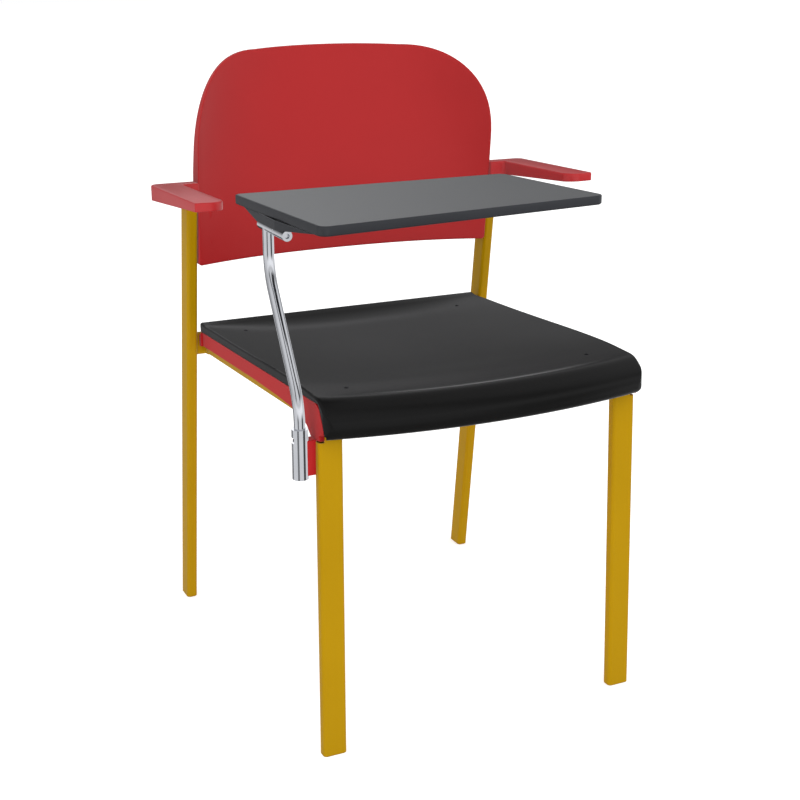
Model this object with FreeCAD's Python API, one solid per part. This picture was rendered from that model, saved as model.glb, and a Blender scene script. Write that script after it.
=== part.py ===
"""Stacking training chair with short arms and a folding writing tablet.

The chair stands on the floor at z = 0 and its sitter looks along -Y.
The sitter's right side, which carries the tablet, is at -X.
All sizes are in millimetres.
"""
import FreeCAD, Part
import math
import os

Vector = FreeCAD.Vector
X_AXIS = Vector(1, 0, 0)
Y_AXIS = Vector(0, 1, 0)
Z_AXIS = Vector(0, 0, 1)
ORIGIN = Vector(0, 0, 0)

# Clearances and help sizes
seat_gap = 0.3              # between moulded parts that rest on each other
running_gap = 0.05          # radial, of a pin or shaft in its bore
overrun = 5.0               # how far a cutter reaches past what it cuts
far_reach = 900.0           # size of a block that trims everything past a plane

# Steel frame stock
tube_broad = 30.0           # flat tube, broad side
tube_narrow = 15.0          # flat tube, narrow side
tube_wall = 1.5
tube_corner = 4.5

# Seat plan and plane: height of the side edge above the origin, and the rise to the front
seat_half_width = 210.5
seat_rear = 202.0
nose_front = -277.8
bow_radius = 778.0          # plan radius of the front edge
nose_side = nose_front + bow_radius - math.sqrt(bow_radius ** 2 - seat_half_width ** 2)
seat_edge_height = 439.65
seat_rake_degrees = 2.885   # front higher

# Front legs: centre line at the floor and at the height of the measuring point
front_leg_foot_inset = 9.2
front_leg_foot_x = seat_half_width - front_leg_foot_inset
front_leg_foot_setback = 14.5
front_leg_foot_y = nose_side + front_leg_foot_setback
front_leg_lean_height = 385.0
front_leg_lean_x = -5.0
front_leg_lean_y = 11.6

# Rear legs, which run on upwards as the posts of the back
rear_leg_foot_outset = 16.1
rear_leg_foot_x = seat_half_width + rear_leg_foot_outset
rear_leg_foot_setback = 61.7
rear_leg_foot_y = seat_rear + rear_leg_foot_setback
rear_leg_lean_height = 640.0
rear_leg_lean_x = -2.4
rear_leg_lean_y = -87.6
post_top_height = 620.0
post_top_share = post_top_height / rear_leg_lean_height
post_top_x = rear_leg_foot_x + rear_leg_lean_x * post_top_share
post_top_y = rear_leg_foot_y + rear_leg_lean_y * post_top_share

# Foot glides
glide_lift = 0.6            # plastic under the end of the tube
glide_depth = 18.0          # length of the plug in the tube
glide_fit = 0.2
glide_inset = 0.5           # of the sole inside the faces of the tube

# Seat shell
seat_thickness = 5.0
seat_lip_height = 11.0
seat_lip_width = 3.0
seat_rear_rise = 2.0
dish_depth = 12.0
dish_power = 2.5
nose_end_wall = 6.0
nose_corner = 14.0          # plan radius of the front corners

# Seat section through the middle: places, drops under the seat plane and shares of the dish
seat_rear_slope = 14.0
seat_rear_shoulder = 34.0
seat_mid_rear_lead = 74.0
seat_mid_rear = seat_rear - seat_mid_rear_lead
seat_mid_lead = 232.0
seat_mid = seat_rear - seat_mid_lead
seat_mid_front_setback = 137.8
seat_mid_front = nose_front + seat_mid_front_setback
seat_front_shoulder_setback = 82.8
seat_front_shoulder = nose_front + seat_front_shoulder_setback
seat_crease_setback = 36.8
seat_crease = nose_front + seat_crease_setback
seat_front_drop = 1.5
seat_crease_drop = 3.5
rear_slope_share = 0.35
shoulder_share = 0.82
mid_front_share = 0.85
front_shoulder_share = 0.6
crease_share = 0.35

# Nose section: shares of its depth behind the foremost line and of its drop
nose_depth = 20.8
nose_drop = 52.8
nose_shares = [(0.76, 0.227), (0.18, 0.417), (0.0, 0.597), (0.115, 0.786), (0.44, 0.917), (1.0, 1.0)]
nose_end_top_setback = 27.8    # closed end of the nose: its upper rear corner
nose_end_top = nose_side + nose_end_top_setback
nose_end_top_drop = 8.5
nose_end_rise_start_inset = 12.5    # where the foot of the nose starts to rise
nose_end_rise_start = seat_half_width - nose_end_rise_start_inset
nose_end_rise = 9.0

# Seat pan
pan_thickness = 3.0
skirt_depth = 18.4          # below the edge of the seat shell
skirt_width = 5.7
pan_front_setback = 55.8
pan_front = nose_front + pan_front_setback
skirt_front_top_setback = 21.8
skirt_front_top = nose_side + skirt_front_top_setback
skirt_front_mid_setback = 13.8
skirt_front_mid = nose_side + skirt_front_mid_setback
skirt_front_mid_drop = 28.5
skirt_front_low_setback = 8.3
skirt_front_low = nose_side + skirt_front_low_setback
skirt_front_low_drop = 41.0
skirt_run = 242.8           # from the nose to where the skirt becomes straight
skirt_fall = 56.2           # its lowest point
skirt_shares = [(0.073, 0.938), (0.147, 1.0), (0.199, 0.957), (0.242, 0.786),
                (0.275, 0.726), (0.456, 0.598), (0.646, 0.557), (1.0, 0.528)]
clip_length = 8.0
clip_width = 3.0
clip_top_drop = 9.0
boss_diameter = 14.0

# Rails under the seat
rail_outer_face_inset = 6.0
rail_outer_face = seat_half_width - rail_outer_face_inset
rail_front_end_setback = 16.8
rail_front_end = nose_side + rail_front_end_setback
rail_bevel_start_setback = 32.8    # where the top of the rail starts to slope down
rail_bevel_start = nose_side + rail_bevel_start_setback
rail_bevel_drop = 7.5
rail_sink = 1.6             # of the side rails under the seat pan
cross_rail_drop = 20.9      # top of the two cross rails under the seat plane

# Seat screws
seat_screw_inset = 48.9
seat_screw_x = seat_half_width - seat_screw_inset
seat_screw_front_setback = 84.4
seat_screw_front_y = nose_front + seat_screw_front_setback
seat_screw_rear_lead = 47.3
seat_screw_rear_y = seat_rear - seat_screw_rear_lead
seat_screw_head = 6.0
seat_screw_head_height = 1.6
seat_screw_shank = 4.0
seat_screw_bite = 6.0

# Back shell: plan, then its front face at the side edge and in the middle
back_post_gap = 0.4
back_half_width = post_top_x - tube_narrow / 2 - back_post_gap
back_bottom_drop = 104.0
back_bottom = post_top_height - back_bottom_drop
back_height = 278.6
back_top = back_bottom + back_height
back_bottom_arch = 3.0
back_thickness = 5.0
back_corner_x = 110.0
back_corner_z = 130.0
back_corner_power = 2.4
back_crown = 2.8
back_edge_lead = 4.2
back_edge_y = post_top_y - back_edge_lead
back_edge_lean = -28.5
back_middle_setback = 17.1
back_middle_y = post_top_y + back_middle_setback
back_middle_lean = 58.5
back_middle_return = 9.7    # how far the middle comes forward again at the top
back_curve_power = 2.8
flange_depth = 24.0
flange_depth_top = 6.0
flange_start_rise = 124.0
flange_start = back_bottom + flange_start_rise
flange_width = 4.5
back_boss_diameter = 12.0

# Brackets that carry the back shell, and their screws
bracket_thickness = 3.0
bracket_reach = 26.0
bracket_low_rise = 16.0
bracket_low = back_bottom + bracket_low_rise
bracket_high_rise = 84.0
bracket_high = back_bottom + bracket_high_rise
bracket_offset = 11.5       # behind the centre line of the post
back_screw_inset = 12.0
back_screw_low_rise = 30.0
back_screw_low = back_bottom + back_screw_low_rise
back_screw_high_rise = 70.0
back_screw_high = back_bottom + back_screw_high_rise
back_screw_head = 9.0
back_screw_head_height = 3.0
back_screw_shank = 4.0
back_screw_bite = 9.0

# Arms
arm_outer_rear_outset = 52.8
arm_outer_rear = post_top_x + arm_outer_rear_outset
arm_outer_front_outset = 51.6
arm_outer_front = post_top_x + arm_outer_front_outset
arm_inner_front_outset = 13.4
arm_inner_front = post_top_x + arm_inner_front_outset
arm_inner_rear_outset = 14.2
arm_inner_rear = post_top_x + arm_inner_rear_outset
arm_cap_inner = back_half_width + seat_gap
arm_rear_setback = 4.8
arm_rear = post_top_y + arm_rear_setback
arm_notch_lead = 19.3
arm_notch = post_top_y - arm_notch_lead
arm_front_lead = 201.5
arm_front = arm_rear - arm_front_lead
arm_front_slant = 5.0       # how far the outer corner stays behind the inner one
arm_top_front_rise = 15.9
arm_top_front = post_top_height + arm_top_front_rise
arm_top_rear_rise = 9.0
arm_top_rear = post_top_height + arm_top_rear_rise
arm_bottom_front_rise = 5.2
arm_bottom_front = post_top_height + arm_bottom_front_rise
arm_bottom_rear_drop = 11.6
arm_bottom_rear = post_top_height - arm_bottom_rear_drop
arm_rear_round = 12.0
arm_front_outer_round = 3.0
arm_front_inner_round = 18.0
arm_notch_round = 4.0
arm_edge_round = 2.0
heel_wall = 2.5             # of the heel that closes the post's rear side
heel_low_drop = 14.0
heel_low = post_top_height - heel_low_drop
spigot_length = 42.0
spigot_fit = 0.2
arm_screw_drop = 24.0       # under the top of the post
arm_screw_head = 8.0
arm_screw_head_height = 2.2
arm_screw_shank = 4.0
arm_screw_bite = 12.0

# Socket of the tablet, beside the front leg of the sitter's right side
swivel_outset = 16.9
swivel_x = -seat_half_width - swivel_outset
swivel_setback = 35.8
swivel_y = nose_side + swivel_setback
socket_outer = 19.0
socket_high_drop = 29.65
socket_high = seat_edge_height - socket_high_drop
socket_low_drop = 57.5
socket_low = socket_high - socket_low_drop
slot_high_drop = 9.4
slot_high = socket_high - slot_high_drop
slot_low_drop = 6.6
slot_low = slot_high - slot_low_drop
slot_start_degrees = 80.0   # from +X, seen from above
slot_end_degrees = 204.0
spacer_low_drop = 55.5
spacer_low = socket_high - spacer_low_drop
spacer_high_drop = 13.5
spacer_high = socket_high - spacer_high_drop
spacer_front = 7.5          # of the swivel axis
spacer_rear = 7.5
spacer_cutter_share = 4.0   # the leg's side face is drawn out to cut the spacer's whole face
socket_bolt_low_rise = 9.5
socket_bolt_low = spacer_low + socket_bolt_low_rise
socket_bolt_high_drop = 9.5
socket_bolt_high = spacer_high - socket_bolt_high_drop
socket_bolt_shank = 5.0
socket_bolt_head = 9.0
socket_bolt_head_height = 3.0
socket_bolt_bite = 1.6
plug_height = 4.0
plug_flange = 2.0

# Support tube of the tablet and the hinge axis at its head
hinge_height = 620.5
support_outer = 13.0
support_wall = 1.8
support_low_bend_rise = 27.5    # heights of the two corners of the centre line
support_low_bend = socket_high + support_low_bend_rise
support_high_bend_drop = 53.5
support_high_bend = hinge_height - support_high_bend_drop
support_bend_radius = 70.0
support_top_drop = 2.0      # end of the tube under the hinge axis
hinge_inward = 7.0
hinge_x = swivel_x + hinge_inward
hinge_setback = 104.5
hinge_y = swivel_y + hinge_setback
index_pin_diameter = 4.0
index_pin_degrees = 187.0
index_pin_reach = 1.6       # past the surface of the support tube

# Hinge under the tablet
barrel_outer = 12.0
barrel_bore = 8.2
barrel_length = 50.0
barrel_rear_setback = 20.5
barrel_rear = hinge_y + barrel_rear_setback
barrel_front = barrel_rear - barrel_length
hinge_pin_diameter = 5.6
bush_flange = 1.2
bush_flange_diameter = 10.8
bush_depth = 14.0
stop_width = 8.0            # lug on the barrel that the bracket plate rests on
stop_length = 10.0
stop_rear_lead = 2.0
stop_rear = barrel_rear - stop_rear_lead
stop_gap = 0.1
stop_slot = 22.0            # reach of the housing's slot for the lug, from the hinge axis
knuckle_length = 31.0
knuckle_gap = 0.4
knuckle_rear = barrel_front - bush_flange - knuckle_gap
pin_head_length = 2.0
pin_head_diameter = 9.0

# Tablet
tablet_top_rise = 29.5
tablet_top = hinge_height + tablet_top_rise
tablet_thickness = 11.0
tablet_under = tablet_top - tablet_thickness
tablet_rear_left_outward = 13.2
tablet_rear_left_x = swivel_x - tablet_rear_left_outward
tablet_rear_setback = 164.5
tablet_rear_y = swivel_y + tablet_rear_setback
tablet_rear_right_inward = 346.0
tablet_rear_right_x = swivel_x + tablet_rear_right_inward
tablet_front_right_inward = 377.5
tablet_front_right_x = swivel_x + tablet_front_right_inward
tablet_front_right_lead = 26.0
tablet_front_right_y = swivel_y - tablet_front_right_lead
tablet_front_left_inward = 3.4
tablet_front_left_x = swivel_x + tablet_front_left_inward
tablet_front_left_lead = 66.0
tablet_front_left_y = swivel_y - tablet_front_left_lead
tablet_round_small = 8.0
tablet_round = 11.0
edge_band = 2.2
edge_bevel = 1.3
laminate_thickness = 0.8

# Bracket, housing and screws under the tablet
plate_thickness = 2.5
plate_inner_inward = 71.0
plate_inner_x = hinge_x + plate_inner_inward
plate_outer_outward = 5.0
plate_outer_x = hinge_x - plate_outer_outward
plate_rear_setback = 12.5
plate_rear = hinge_y + plate_rear_setback
plate_front_lead = 87.5
plate_front = hinge_y - plate_front_lead
web_thickness = 5.0
housing_floor_rise = 7.5
housing_floor = hinge_height + housing_floor_rise
housing_wall = 2.0
housing_outer_outward = 14.5
housing_outer_x = hinge_x - housing_outer_outward
housing_inner_inward = 83.0
housing_inner_x = hinge_x + housing_inner_inward
housing_rear_tip_setback = 46.5
housing_rear_tip = hinge_y + housing_rear_tip_setback
housing_rear_foot_lead = 3.5
housing_rear_foot = hinge_y - housing_rear_foot_lead
housing_front_foot_lead = 61.5
housing_front_foot = hinge_y - housing_front_foot_lead
housing_front_tip_lead = 153.5
housing_front_tip = hinge_y - housing_front_tip_lead
housing_front_outer_outward = 2.0
housing_front_outer_x = hinge_x - housing_front_outer_outward
housing_inner_rear_setback = 16.5
housing_inner_rear = hinge_y + housing_inner_rear_setback
housing_inner_front_lead = 96.5
housing_inner_front = hinge_y - housing_inner_front_lead
tablet_screw_head = 8.0
tablet_screw_head_height = 2.0
tablet_screw_shank = 4.0
tablet_screw_bite = 7.0
tablet_screw_inset = 12.0


def block(low, high):
    """Box between its lowest and highest corners."""
    return Part.makeBox(high.x - low.x, high.y - low.y, high.z - low.z, low)


def rod(start, direction, length, diameter):
    """Round bar from a point along a direction."""
    return Part.makeCylinder(diameter / 2, length, start, direction)


def rounded_wire(points, radii):
    """Closed wire through flat corner points, each corner with its own radius."""
    edges = []
    arcs = []
    count = len(points)
    for index, corner in enumerate(points):
        radius = radii[index]
        if radius == 0:
            arcs.append((corner, None, corner))
            continue
        before = (points[index - 1] - corner).normalize()
        after = (points[(index + 1) % count] - corner).normalize()
        half = before.getAngle(after) / 2
        tangent = radius / math.tan(half)
        middle = (before + after).normalize() * (radius / math.sin(half) - radius)
        arcs.append((corner + before * tangent, corner + middle, corner + after * tangent))
    for index, (first, middle, last) in enumerate(arcs):
        if middle is not None:
            edges.append(Part.Arc(first, middle, last).toShape())
        following = arcs[(index + 1) % count][0]
        edges.append(Part.LineSegment(last, following).toShape())
    return Part.Wire(edges)


def slab(points, radii, direction):
    """Solid made by moving a rounded outline along a direction."""
    return Part.Face(rounded_wire(points, radii)).extrude(direction)


def side_slab(outline, x_low, x_high):
    """Solid with an outline given as y, z pairs, from one x to another."""
    points = [Vector(x_low, y, z) for y, z in outline]
    return slab(points, [0] * len(points), Vector(x_high - x_low, 0, 0))


def flat_tube(start, finish, side, across, deep, wall):
    """Rounded flat tube, or a bar where the wall is zero, between two points."""
    axis = finish - start
    along = Vector(axis).normalize()
    first = (side - along * side.dot(along)).normalize()
    second = along.cross(first)

    def bar(shrink):
        half_a = first * (across / 2 - shrink)
        half_b = second * (deep / 2 - shrink)
        corners = [start - half_a - half_b, start + half_a - half_b,
                   start + half_a + half_b, start - half_a + half_b]
        return slab(corners, [tube_corner - min(shrink, tube_wall)] * len(corners), axis)

    if wall == 0:
        return bar(0)
    return bar(0).cut(bar(wall))


def mirrored(shape):
    """Copy of a shape on the other side of the chair."""
    return shape.mirror(ORIGIN, X_AXIS)


def to_seat(shape):
    """Place a shape that is drawn on the seat plane into the chair."""
    placed = shape.copy()
    placed.rotate(ORIGIN, X_AXIS, -seat_rake_degrees)
    placed.translate(Vector(0, 0, seat_edge_height))
    return placed


def smooth_edge(points):
    """Smooth curve through points."""
    curve = Part.BSplineCurve()
    curve.interpolate(points)
    return curve.toShape()


def loft_between(sections):
    """Solid skin through closed sections."""
    return Part.makeLoft(sections, True, False)


# Leg lines

def leg_point(foot_x, foot_y, lean_x, lean_y, lean_height, height):
    """Point of a leg's centre line at a height."""
    share = height / lean_height
    return Vector(foot_x + lean_x * share, foot_y + lean_y * share, height)


def front_leg_point(height):
    """Point of the front leg's centre line, on the +X side."""
    return leg_point(front_leg_foot_x, front_leg_foot_y, front_leg_lean_x,
                     front_leg_lean_y, front_leg_lean_height, height)


def rear_leg_point(height):
    """Point of the rear leg's centre line, on the +X side."""
    return leg_point(rear_leg_foot_x, rear_leg_foot_y, rear_leg_lean_x,
                     rear_leg_lean_y, rear_leg_lean_height, height)


def floor_trim(shape, height):
    """Keep what lies above a height."""
    low = Vector(-far_reach, -far_reach, -far_reach)
    return shape.cut(block(low, Vector(far_reach, far_reach, height)))


def front_leg():
    """Front leg, trimmed at the floor and under the side rail."""
    foot = front_leg_point(-overrun * 2)
    head = front_leg_point(seat_edge_height)
    leg = flat_tube(foot, head, X_AXIS, tube_broad, tube_narrow, tube_wall)
    leg = floor_trim(leg, glide_lift)
    above = block(Vector(-far_reach, -far_reach, -rail_drop - tube_broad),
                  Vector(far_reach, far_reach, far_reach))
    beside = block(Vector(rail_outer_face, -far_reach, -skirt_fall - seat_gap),
                   Vector(far_reach, far_reach, far_reach))
    return leg.cut(to_seat(above)).cut(to_seat(beside))


def rear_leg():
    """Rear leg and back post in one straight tube."""
    foot = rear_leg_point(-overrun * 2)
    head = rear_leg_point(post_top_height)
    return floor_trim(flat_tube(foot, head, X_AXIS, tube_narrow, tube_broad, tube_wall), glide_lift)


def foot_glide(point_at, across, deep):
    """Plastic plug in the end of a leg, with a thin sole under the tube."""
    drawn_in = 2 * glide_inset
    low = point_at(-overrun)
    high = point_at(glide_depth)
    sole = flat_tube(low, high, X_AXIS, across - drawn_in, deep - drawn_in, 0)
    sole = floor_trim(sole, 0)
    above = block(Vector(-far_reach, -far_reach, glide_lift), Vector(far_reach, far_reach, far_reach))
    sole = sole.cut(above)
    inside = 2 * (tube_wall + glide_fit)
    stem = flat_tube(point_at(0), high, X_AXIS, across - inside, deep - inside, 0)
    return sole.fuse(floor_trim(stem, glide_lift / 2)).removeSplitter()


# Seat surface

def dish(x):
    """Depth of the seat's hollow at a distance from the middle."""
    return dish_depth * (1 - (abs(x) / seat_half_width) ** dish_power)


def bow(x):
    """How far the front edge lies behind its foremost point."""
    return bow_radius - math.sqrt(bow_radius ** 2 - x ** 2)


def seat_profile(x):
    """Upper line of the seat from the rear edge to the foot of the nose."""
    deep = dish(x)
    back = bow(x)
    line = [
        (seat_rear, seat_rear_rise),
        (seat_rear - seat_rear_slope, -rear_slope_share * deep),
        (seat_rear - seat_rear_shoulder, -shoulder_share * deep),
        (seat_mid_rear, -deep),
        (seat_mid, -deep),
        (seat_mid_front, -mid_front_share * deep),
        (seat_front_shoulder + back / 2, -seat_front_drop - front_shoulder_share * deep),
        (seat_crease + back, -seat_crease_drop - crease_share * deep),
    ]
    return line + nose_line(back)


def nose_line(back):
    """Section of the nose, where the front edge lies behind its foremost point by a distance."""
    return [(nose_front + back + behind * nose_depth, -drop * nose_drop) for behind, drop in nose_shares]


def offset_line(line, distance):
    """Line moved to its inner side by a distance."""
    moved = []
    last = len(line) - 1
    for index, (y, z) in enumerate(line):
        y_a, z_a = line[max(index - 1, 0)]
        y_b, z_b = line[min(index + 1, last)]
        share = distance / math.hypot(y_b - y_a, z_b - z_a)
        moved.append((y - (z_b - z_a) * share, z + (y_b - y_a) * share))
    return moved


def sheet_section(x, upper, lower):
    """Closed wire of a thin sheet between two lines at one x."""
    top = [Vector(x, y, z) for y, z in upper]
    under = [Vector(x, y, z) for y, z in reversed(lower)]
    edges = [smooth_edge(top), Part.LineSegment(top[-1], under[0]).toShape(),
             smooth_edge(under), Part.LineSegment(under[-1], top[0]).toShape()]
    return Part.Wire(edges)


def sheet(half_width, line_pair):
    """Sheet lofted across the chair through sections of two lines."""
    stations = [half_width * share for share in station_shares]
    return loft_between([sheet_section(x, *line_pair(x)) for x in stations])


station_shares = [-1, -0.7, -0.36, 0, 0.36, 0.7, 1]
rail_top_drop = dish(rail_outer_face - tube_narrow) + seat_thickness + pan_thickness + 2 * seat_gap
rail_drop = rail_top_drop + rail_sink


def bowed_prism(half_width, front_y, rear_y):
    """Tall prism with straight sides and rear, and the seat's bowed front."""
    corner = Vector(half_width, front_y + bow(half_width), -far_reach / 2)
    front = Vector(0, front_y, -far_reach / 2)
    left = Vector(-corner.x, corner.y, corner.z)
    rear_left = Vector(-corner.x, rear_y, corner.z)
    rear_right = Vector(corner.x, rear_y, corner.z)
    edges = [Part.Arc(left, front, corner).toShape(),
             Part.LineSegment(corner, rear_right).toShape(),
             Part.LineSegment(rear_right, rear_left).toShape(),
             Part.LineSegment(rear_left, left).toShape()]
    return Part.Face(Part.Wire(edges)).extrude(Vector(0, 0, far_reach))


def seat_outline():
    """Tall prism of the seat's plan, with its rounded front corners."""
    side_y = nose_front + bow(seat_half_width)
    prism = bowed_prism(seat_half_width, nose_front, seat_rear)
    uprights = [edge for edge in prism.Edges
                if abs(edge.Vertexes[0].Y - side_y) < overrun
                and abs(edge.Vertexes[-1].Y - side_y) < overrun
                and abs(edge.Vertexes[0].Z - edge.Vertexes[-1].Z) > far_reach / 2]
    return prism.makeFillet(nose_corner, uprights)


def seat_shell():
    """Black moulded seat: dished sheet, rolled nose, side lips and rear lip."""
    def lines(x):
        upper = seat_profile(x)
        return upper, offset_line(upper, seat_thickness)

    inner_face = seat_half_width - seat_lip_width
    lip = side_slab([(seat_rear, -seat_lip_height), (seat_rear, seat_rear_rise),
                     (seat_rear - seat_rear_slope, -seat_rear_rise / 2),
                     (seat_front_shoulder, -seat_front_drop - seat_rear_rise),
                     (skirt_front_top, -seat_crease_drop - seat_rear_rise),
                     (skirt_front_top, -seat_lip_height)], inner_face, seat_half_width)
    end = side_slab([(nose_end_top, -nose_end_top_drop)] + nose_line(bow(seat_half_width))[:-1]
                    + [(skirt_front_low - seat_gap, -skirt_front_low_drop),
                       (skirt_front_mid - seat_gap, -skirt_front_mid_drop),
                       (skirt_front_top - seat_gap, -seat_lip_height)],
                    seat_half_width - nose_end_wall, seat_half_width)
    rear = side_slab([(seat_rear - seat_lip_width, -seat_lip_height), (seat_rear, -seat_lip_height),
                      (seat_rear, seat_rear_rise / 2), (seat_rear - seat_lip_width, 0)],
                     -inner_face - seat_lip_width / 2, inner_face + seat_lip_width / 2)
    shell = sheet(seat_half_width + overrun, lines)
    for piece in (lip, mirrored(lip), end, mirrored(end), rear):
        shell = shell.fuse(piece)
    trim = nose_end_trim()
    shell = shell.common(seat_outline()).cut([trim, mirrored(trim)])
    for x, y in seat_screw_places():
        shell = shell.cut(seat_screw(x, y, seat_gap / 2))
    return to_seat(shell.removeSplitter())


def nose_end_trim():
    """Wedge that lets the foot of the nose rise at its end on the +X side."""
    corners = [Vector(nose_end_rise_start, seat_rear, -nose_drop),
               Vector(nose_end_rise_start, seat_rear, -far_reach),
               Vector(seat_half_width + overrun, seat_rear, -far_reach),
               Vector(seat_half_width + overrun, seat_rear, nose_end_rise - nose_drop)]
    return slab(corners, [0] * 4, Vector(0, -far_reach, 0))


def seat_screw_places():
    """Where the seat is screwed down, seen from above."""
    return [(side * seat_screw_x, y) for side in (-1, 1) for y in (seat_screw_front_y, seat_screw_rear_y)]


def seat_top_drop(x, y):
    """Depth of the seat's upper surface at one of the screws, on the seat plane."""
    line = seat_profile(x)
    for (y_a, z_a), (y_b, z_b) in zip(line, line[1:]):
        if y_b <= y <= y_a:
            return z_a + (z_b - z_a) * (y_a - y) / (y_a - y_b)
    return -dish(x)


def seat_screw(x, y, ease):
    """Flush screw from the seat into the cross rail, or its hole with some ease."""
    top = seat_top_drop(x, y)
    foot = -cross_rail_drop - seat_screw_bite
    above = overrun if ease > 0 else 0
    head = rod(Vector(x, y, top - seat_screw_head_height - ease), Z_AXIS,
               seat_screw_head_height + ease + above, seat_screw_head + 2 * ease)
    shank = rod(Vector(x, y, foot - ease), Z_AXIS, top - foot, seat_screw_shank + 2 * ease)
    return head.fuse(shank)


def seat_pan():
    """Red under-pan: tray under the shell, side skirts, rear clips and screw bosses."""
    def lines(x):
        profile = seat_profile(x)
        return (offset_line(profile, seat_thickness + seat_gap),
                offset_line(profile, seat_thickness + seat_gap + pan_thickness))

    def covered(x):
        profile = seat_profile(x)
        return profile, offset_line(profile, seat_thickness + 2 * seat_gap)

    outer = seat_half_width
    inner = outer - skirt_width
    top = -seat_lip_height - seat_gap
    low = top - skirt_depth
    rear_face = cross_rail_rear_y() - tube_narrow / 2 - seat_gap
    outline = [(rear_face, top), (rear_face, low)]
    outline += [(nose_side + run * skirt_run, -fall * skirt_fall) for run, fall in reversed(skirt_shares)]
    outline += [(skirt_front_low, -skirt_front_low_drop), (skirt_front_mid, -skirt_front_mid_drop),
                (skirt_front_top, top)]
    skirt = side_slab(outline, inner, outer)
    tray_width = seat_half_width - seat_lip_width - seat_gap
    ledge = side_slab([(seat_rear - seat_lip_width - seat_gap, low), (pan_front + bow(inner), low),
                       (pan_front + bow(inner), -seat_thickness - pan_thickness),
                       (seat_rear - seat_lip_width - seat_gap, -seat_thickness - pan_thickness)],
                      inner, tray_width - seat_gap)
    clip = side_slab([(rear_face, -clip_top_drop - seat_lip_height / 2), (rear_face, low),
                      (rear_face - clip_length, low), (rear_face - clip_length, top)],
                     outer, outer + clip_width)
    tray = sheet(seat_half_width + overrun, lines).common(
        bowed_prism(tray_width, pan_front, seat_rear - seat_lip_width - seat_gap))
    above = sheet(seat_half_width + overrun, covered)
    side = skirt.fuse([ledge, clip]).cut(above)
    side = max(side.Solids, key=lambda solid: solid.Volume)
    pan = tray.fuse([side, mirrored(side)])
    for x, y in seat_screw_places():
        boss_top = seat_top_drop(x, y) - seat_thickness - pan_thickness
        boss_foot = -cross_rail_drop + seat_gap
        boss = rod(Vector(x, y, boss_foot), Z_AXIS, boss_top - boss_foot, boss_diameter)
        pan = pan.fuse(boss).cut(seat_screw(x, y, seat_gap / 2))
    rail_slot = block(Vector(rail_outer_face - tube_narrow - seat_gap, -far_reach, -far_reach),
                      Vector(rail_outer_face + seat_gap, seat_rear, -rail_drop + seat_gap))
    pan = pan.cut([rail_slot, mirrored(rail_slot)])
    return to_seat(pan.removeSplitter())


# Rails

def cross_rail_rear_y():
    """Place of the rear cross rail, centred on the rear posts."""
    rake = math.radians(seat_rake_degrees)
    height = seat_edge_height - rail_drop - tube_broad / 2 - seat_rear * math.tan(rake)
    return rear_leg_point(height).y / math.cos(rake)


def side_rail():
    """Rail from the top of the front leg to the rear cross rail, on the +X side."""
    x = rail_outer_face - tube_narrow / 2
    z = -rail_drop - tube_broad / 2
    rear = cross_rail_rear_y() - tube_narrow / 2
    rail = flat_tube(Vector(x, rail_front_end, z), Vector(x, rear, z), X_AXIS,
                     tube_narrow, tube_broad, tube_wall)
    bevel = slab([Vector(0, rail_bevel_start, -rail_drop), Vector(0, rail_bevel_start, far_reach),
                  Vector(0, rail_front_end - overrun, far_reach),
                  Vector(0, rail_front_end, -rail_drop - rail_bevel_drop)],
                 [0] * 4, Vector(far_reach, 0, 0))
    return to_seat(rail.cut(bevel))


def cross_rail(y):
    """Flat cross rail between the side rails."""
    half = rail_outer_face - tube_narrow
    z = -cross_rail_drop - tube_narrow / 2
    rail = flat_tube(Vector(-half, y, z), Vector(half, y, z), Y_AXIS,
                     tube_broad, tube_narrow, tube_wall)
    for x in (-seat_screw_x, seat_screw_x):
        rail = rail.cut(seat_screw(x, y, seat_gap / 2))
    return to_seat(rail)


def rear_cross_rail():
    """Cross rail between the rear posts, behind the seat pan."""
    z = -rail_drop - tube_broad / 2
    y = cross_rail_rear_y()
    half = rear_leg_foot_x
    rail = to_seat(flat_tube(Vector(-half, y, z), Vector(half, y, z), Y_AXIS,
                             tube_narrow, tube_broad, tube_wall))
    foot = rear_leg_point(0)
    head = rear_leg_point(post_top_height)
    post = flat_tube(foot, head, X_AXIS, tube_narrow, tube_broad, 0)
    outside = block(Vector(rear_leg_foot_x, -far_reach, 0), Vector(far_reach, far_reach, far_reach))
    return rail.cut([post, mirrored(post), outside, mirrored(outside)])


# Back

def back_edge(z):
    """Front face of the back shell at its side edge."""
    return back_edge_y + back_edge_lean * (z - back_bottom) / back_height


def back_surface(x, z):
    """Front face of the back shell."""
    share = (z - back_bottom) / back_height
    middle = back_middle_y + back_middle_lean * share - back_middle_return * share ** 2
    return middle + (back_edge(z) - middle) * (abs(x) / back_half_width) ** back_curve_power


def flange_reach(z):
    """Depth of the rim at a height."""
    share = min(max((z - flange_start) / (back_top - flange_start), 0), 1)
    return flange_depth + (flange_depth_top - flange_depth) * share


def back_layer(start, depth_at):
    """Curved layer that starts behind the front face and has a depth at each height."""
    reach = back_half_width + overrun
    columns = [reach * share for share in back_column_shares]
    rows = [back_bottom - overrun + (back_top - back_bottom + 2 * overrun) * share
            for share in back_row_shares]
    sections = []
    for z in rows:
        front = [Vector(x, back_surface(x, z) + start, z) for x in columns]
        behind = [Vector(p.x, p.y - start + depth_at(z), z) for p in reversed(front)]
        sections.append(Part.Wire([
            smooth_edge(front), Part.LineSegment(front[-1], behind[0]).toShape(),
            smooth_edge(behind), Part.LineSegment(behind[-1], front[0]).toShape()]))
    return loft_between(sections)


back_column_shares = [-1, -0.82, -0.6, -0.3, 0, 0.3, 0.6, 0.82, 1]
back_row_shares = [0, 0.2, 0.4, 0.6, 0.8, 1]
corner_steps = 6


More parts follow.
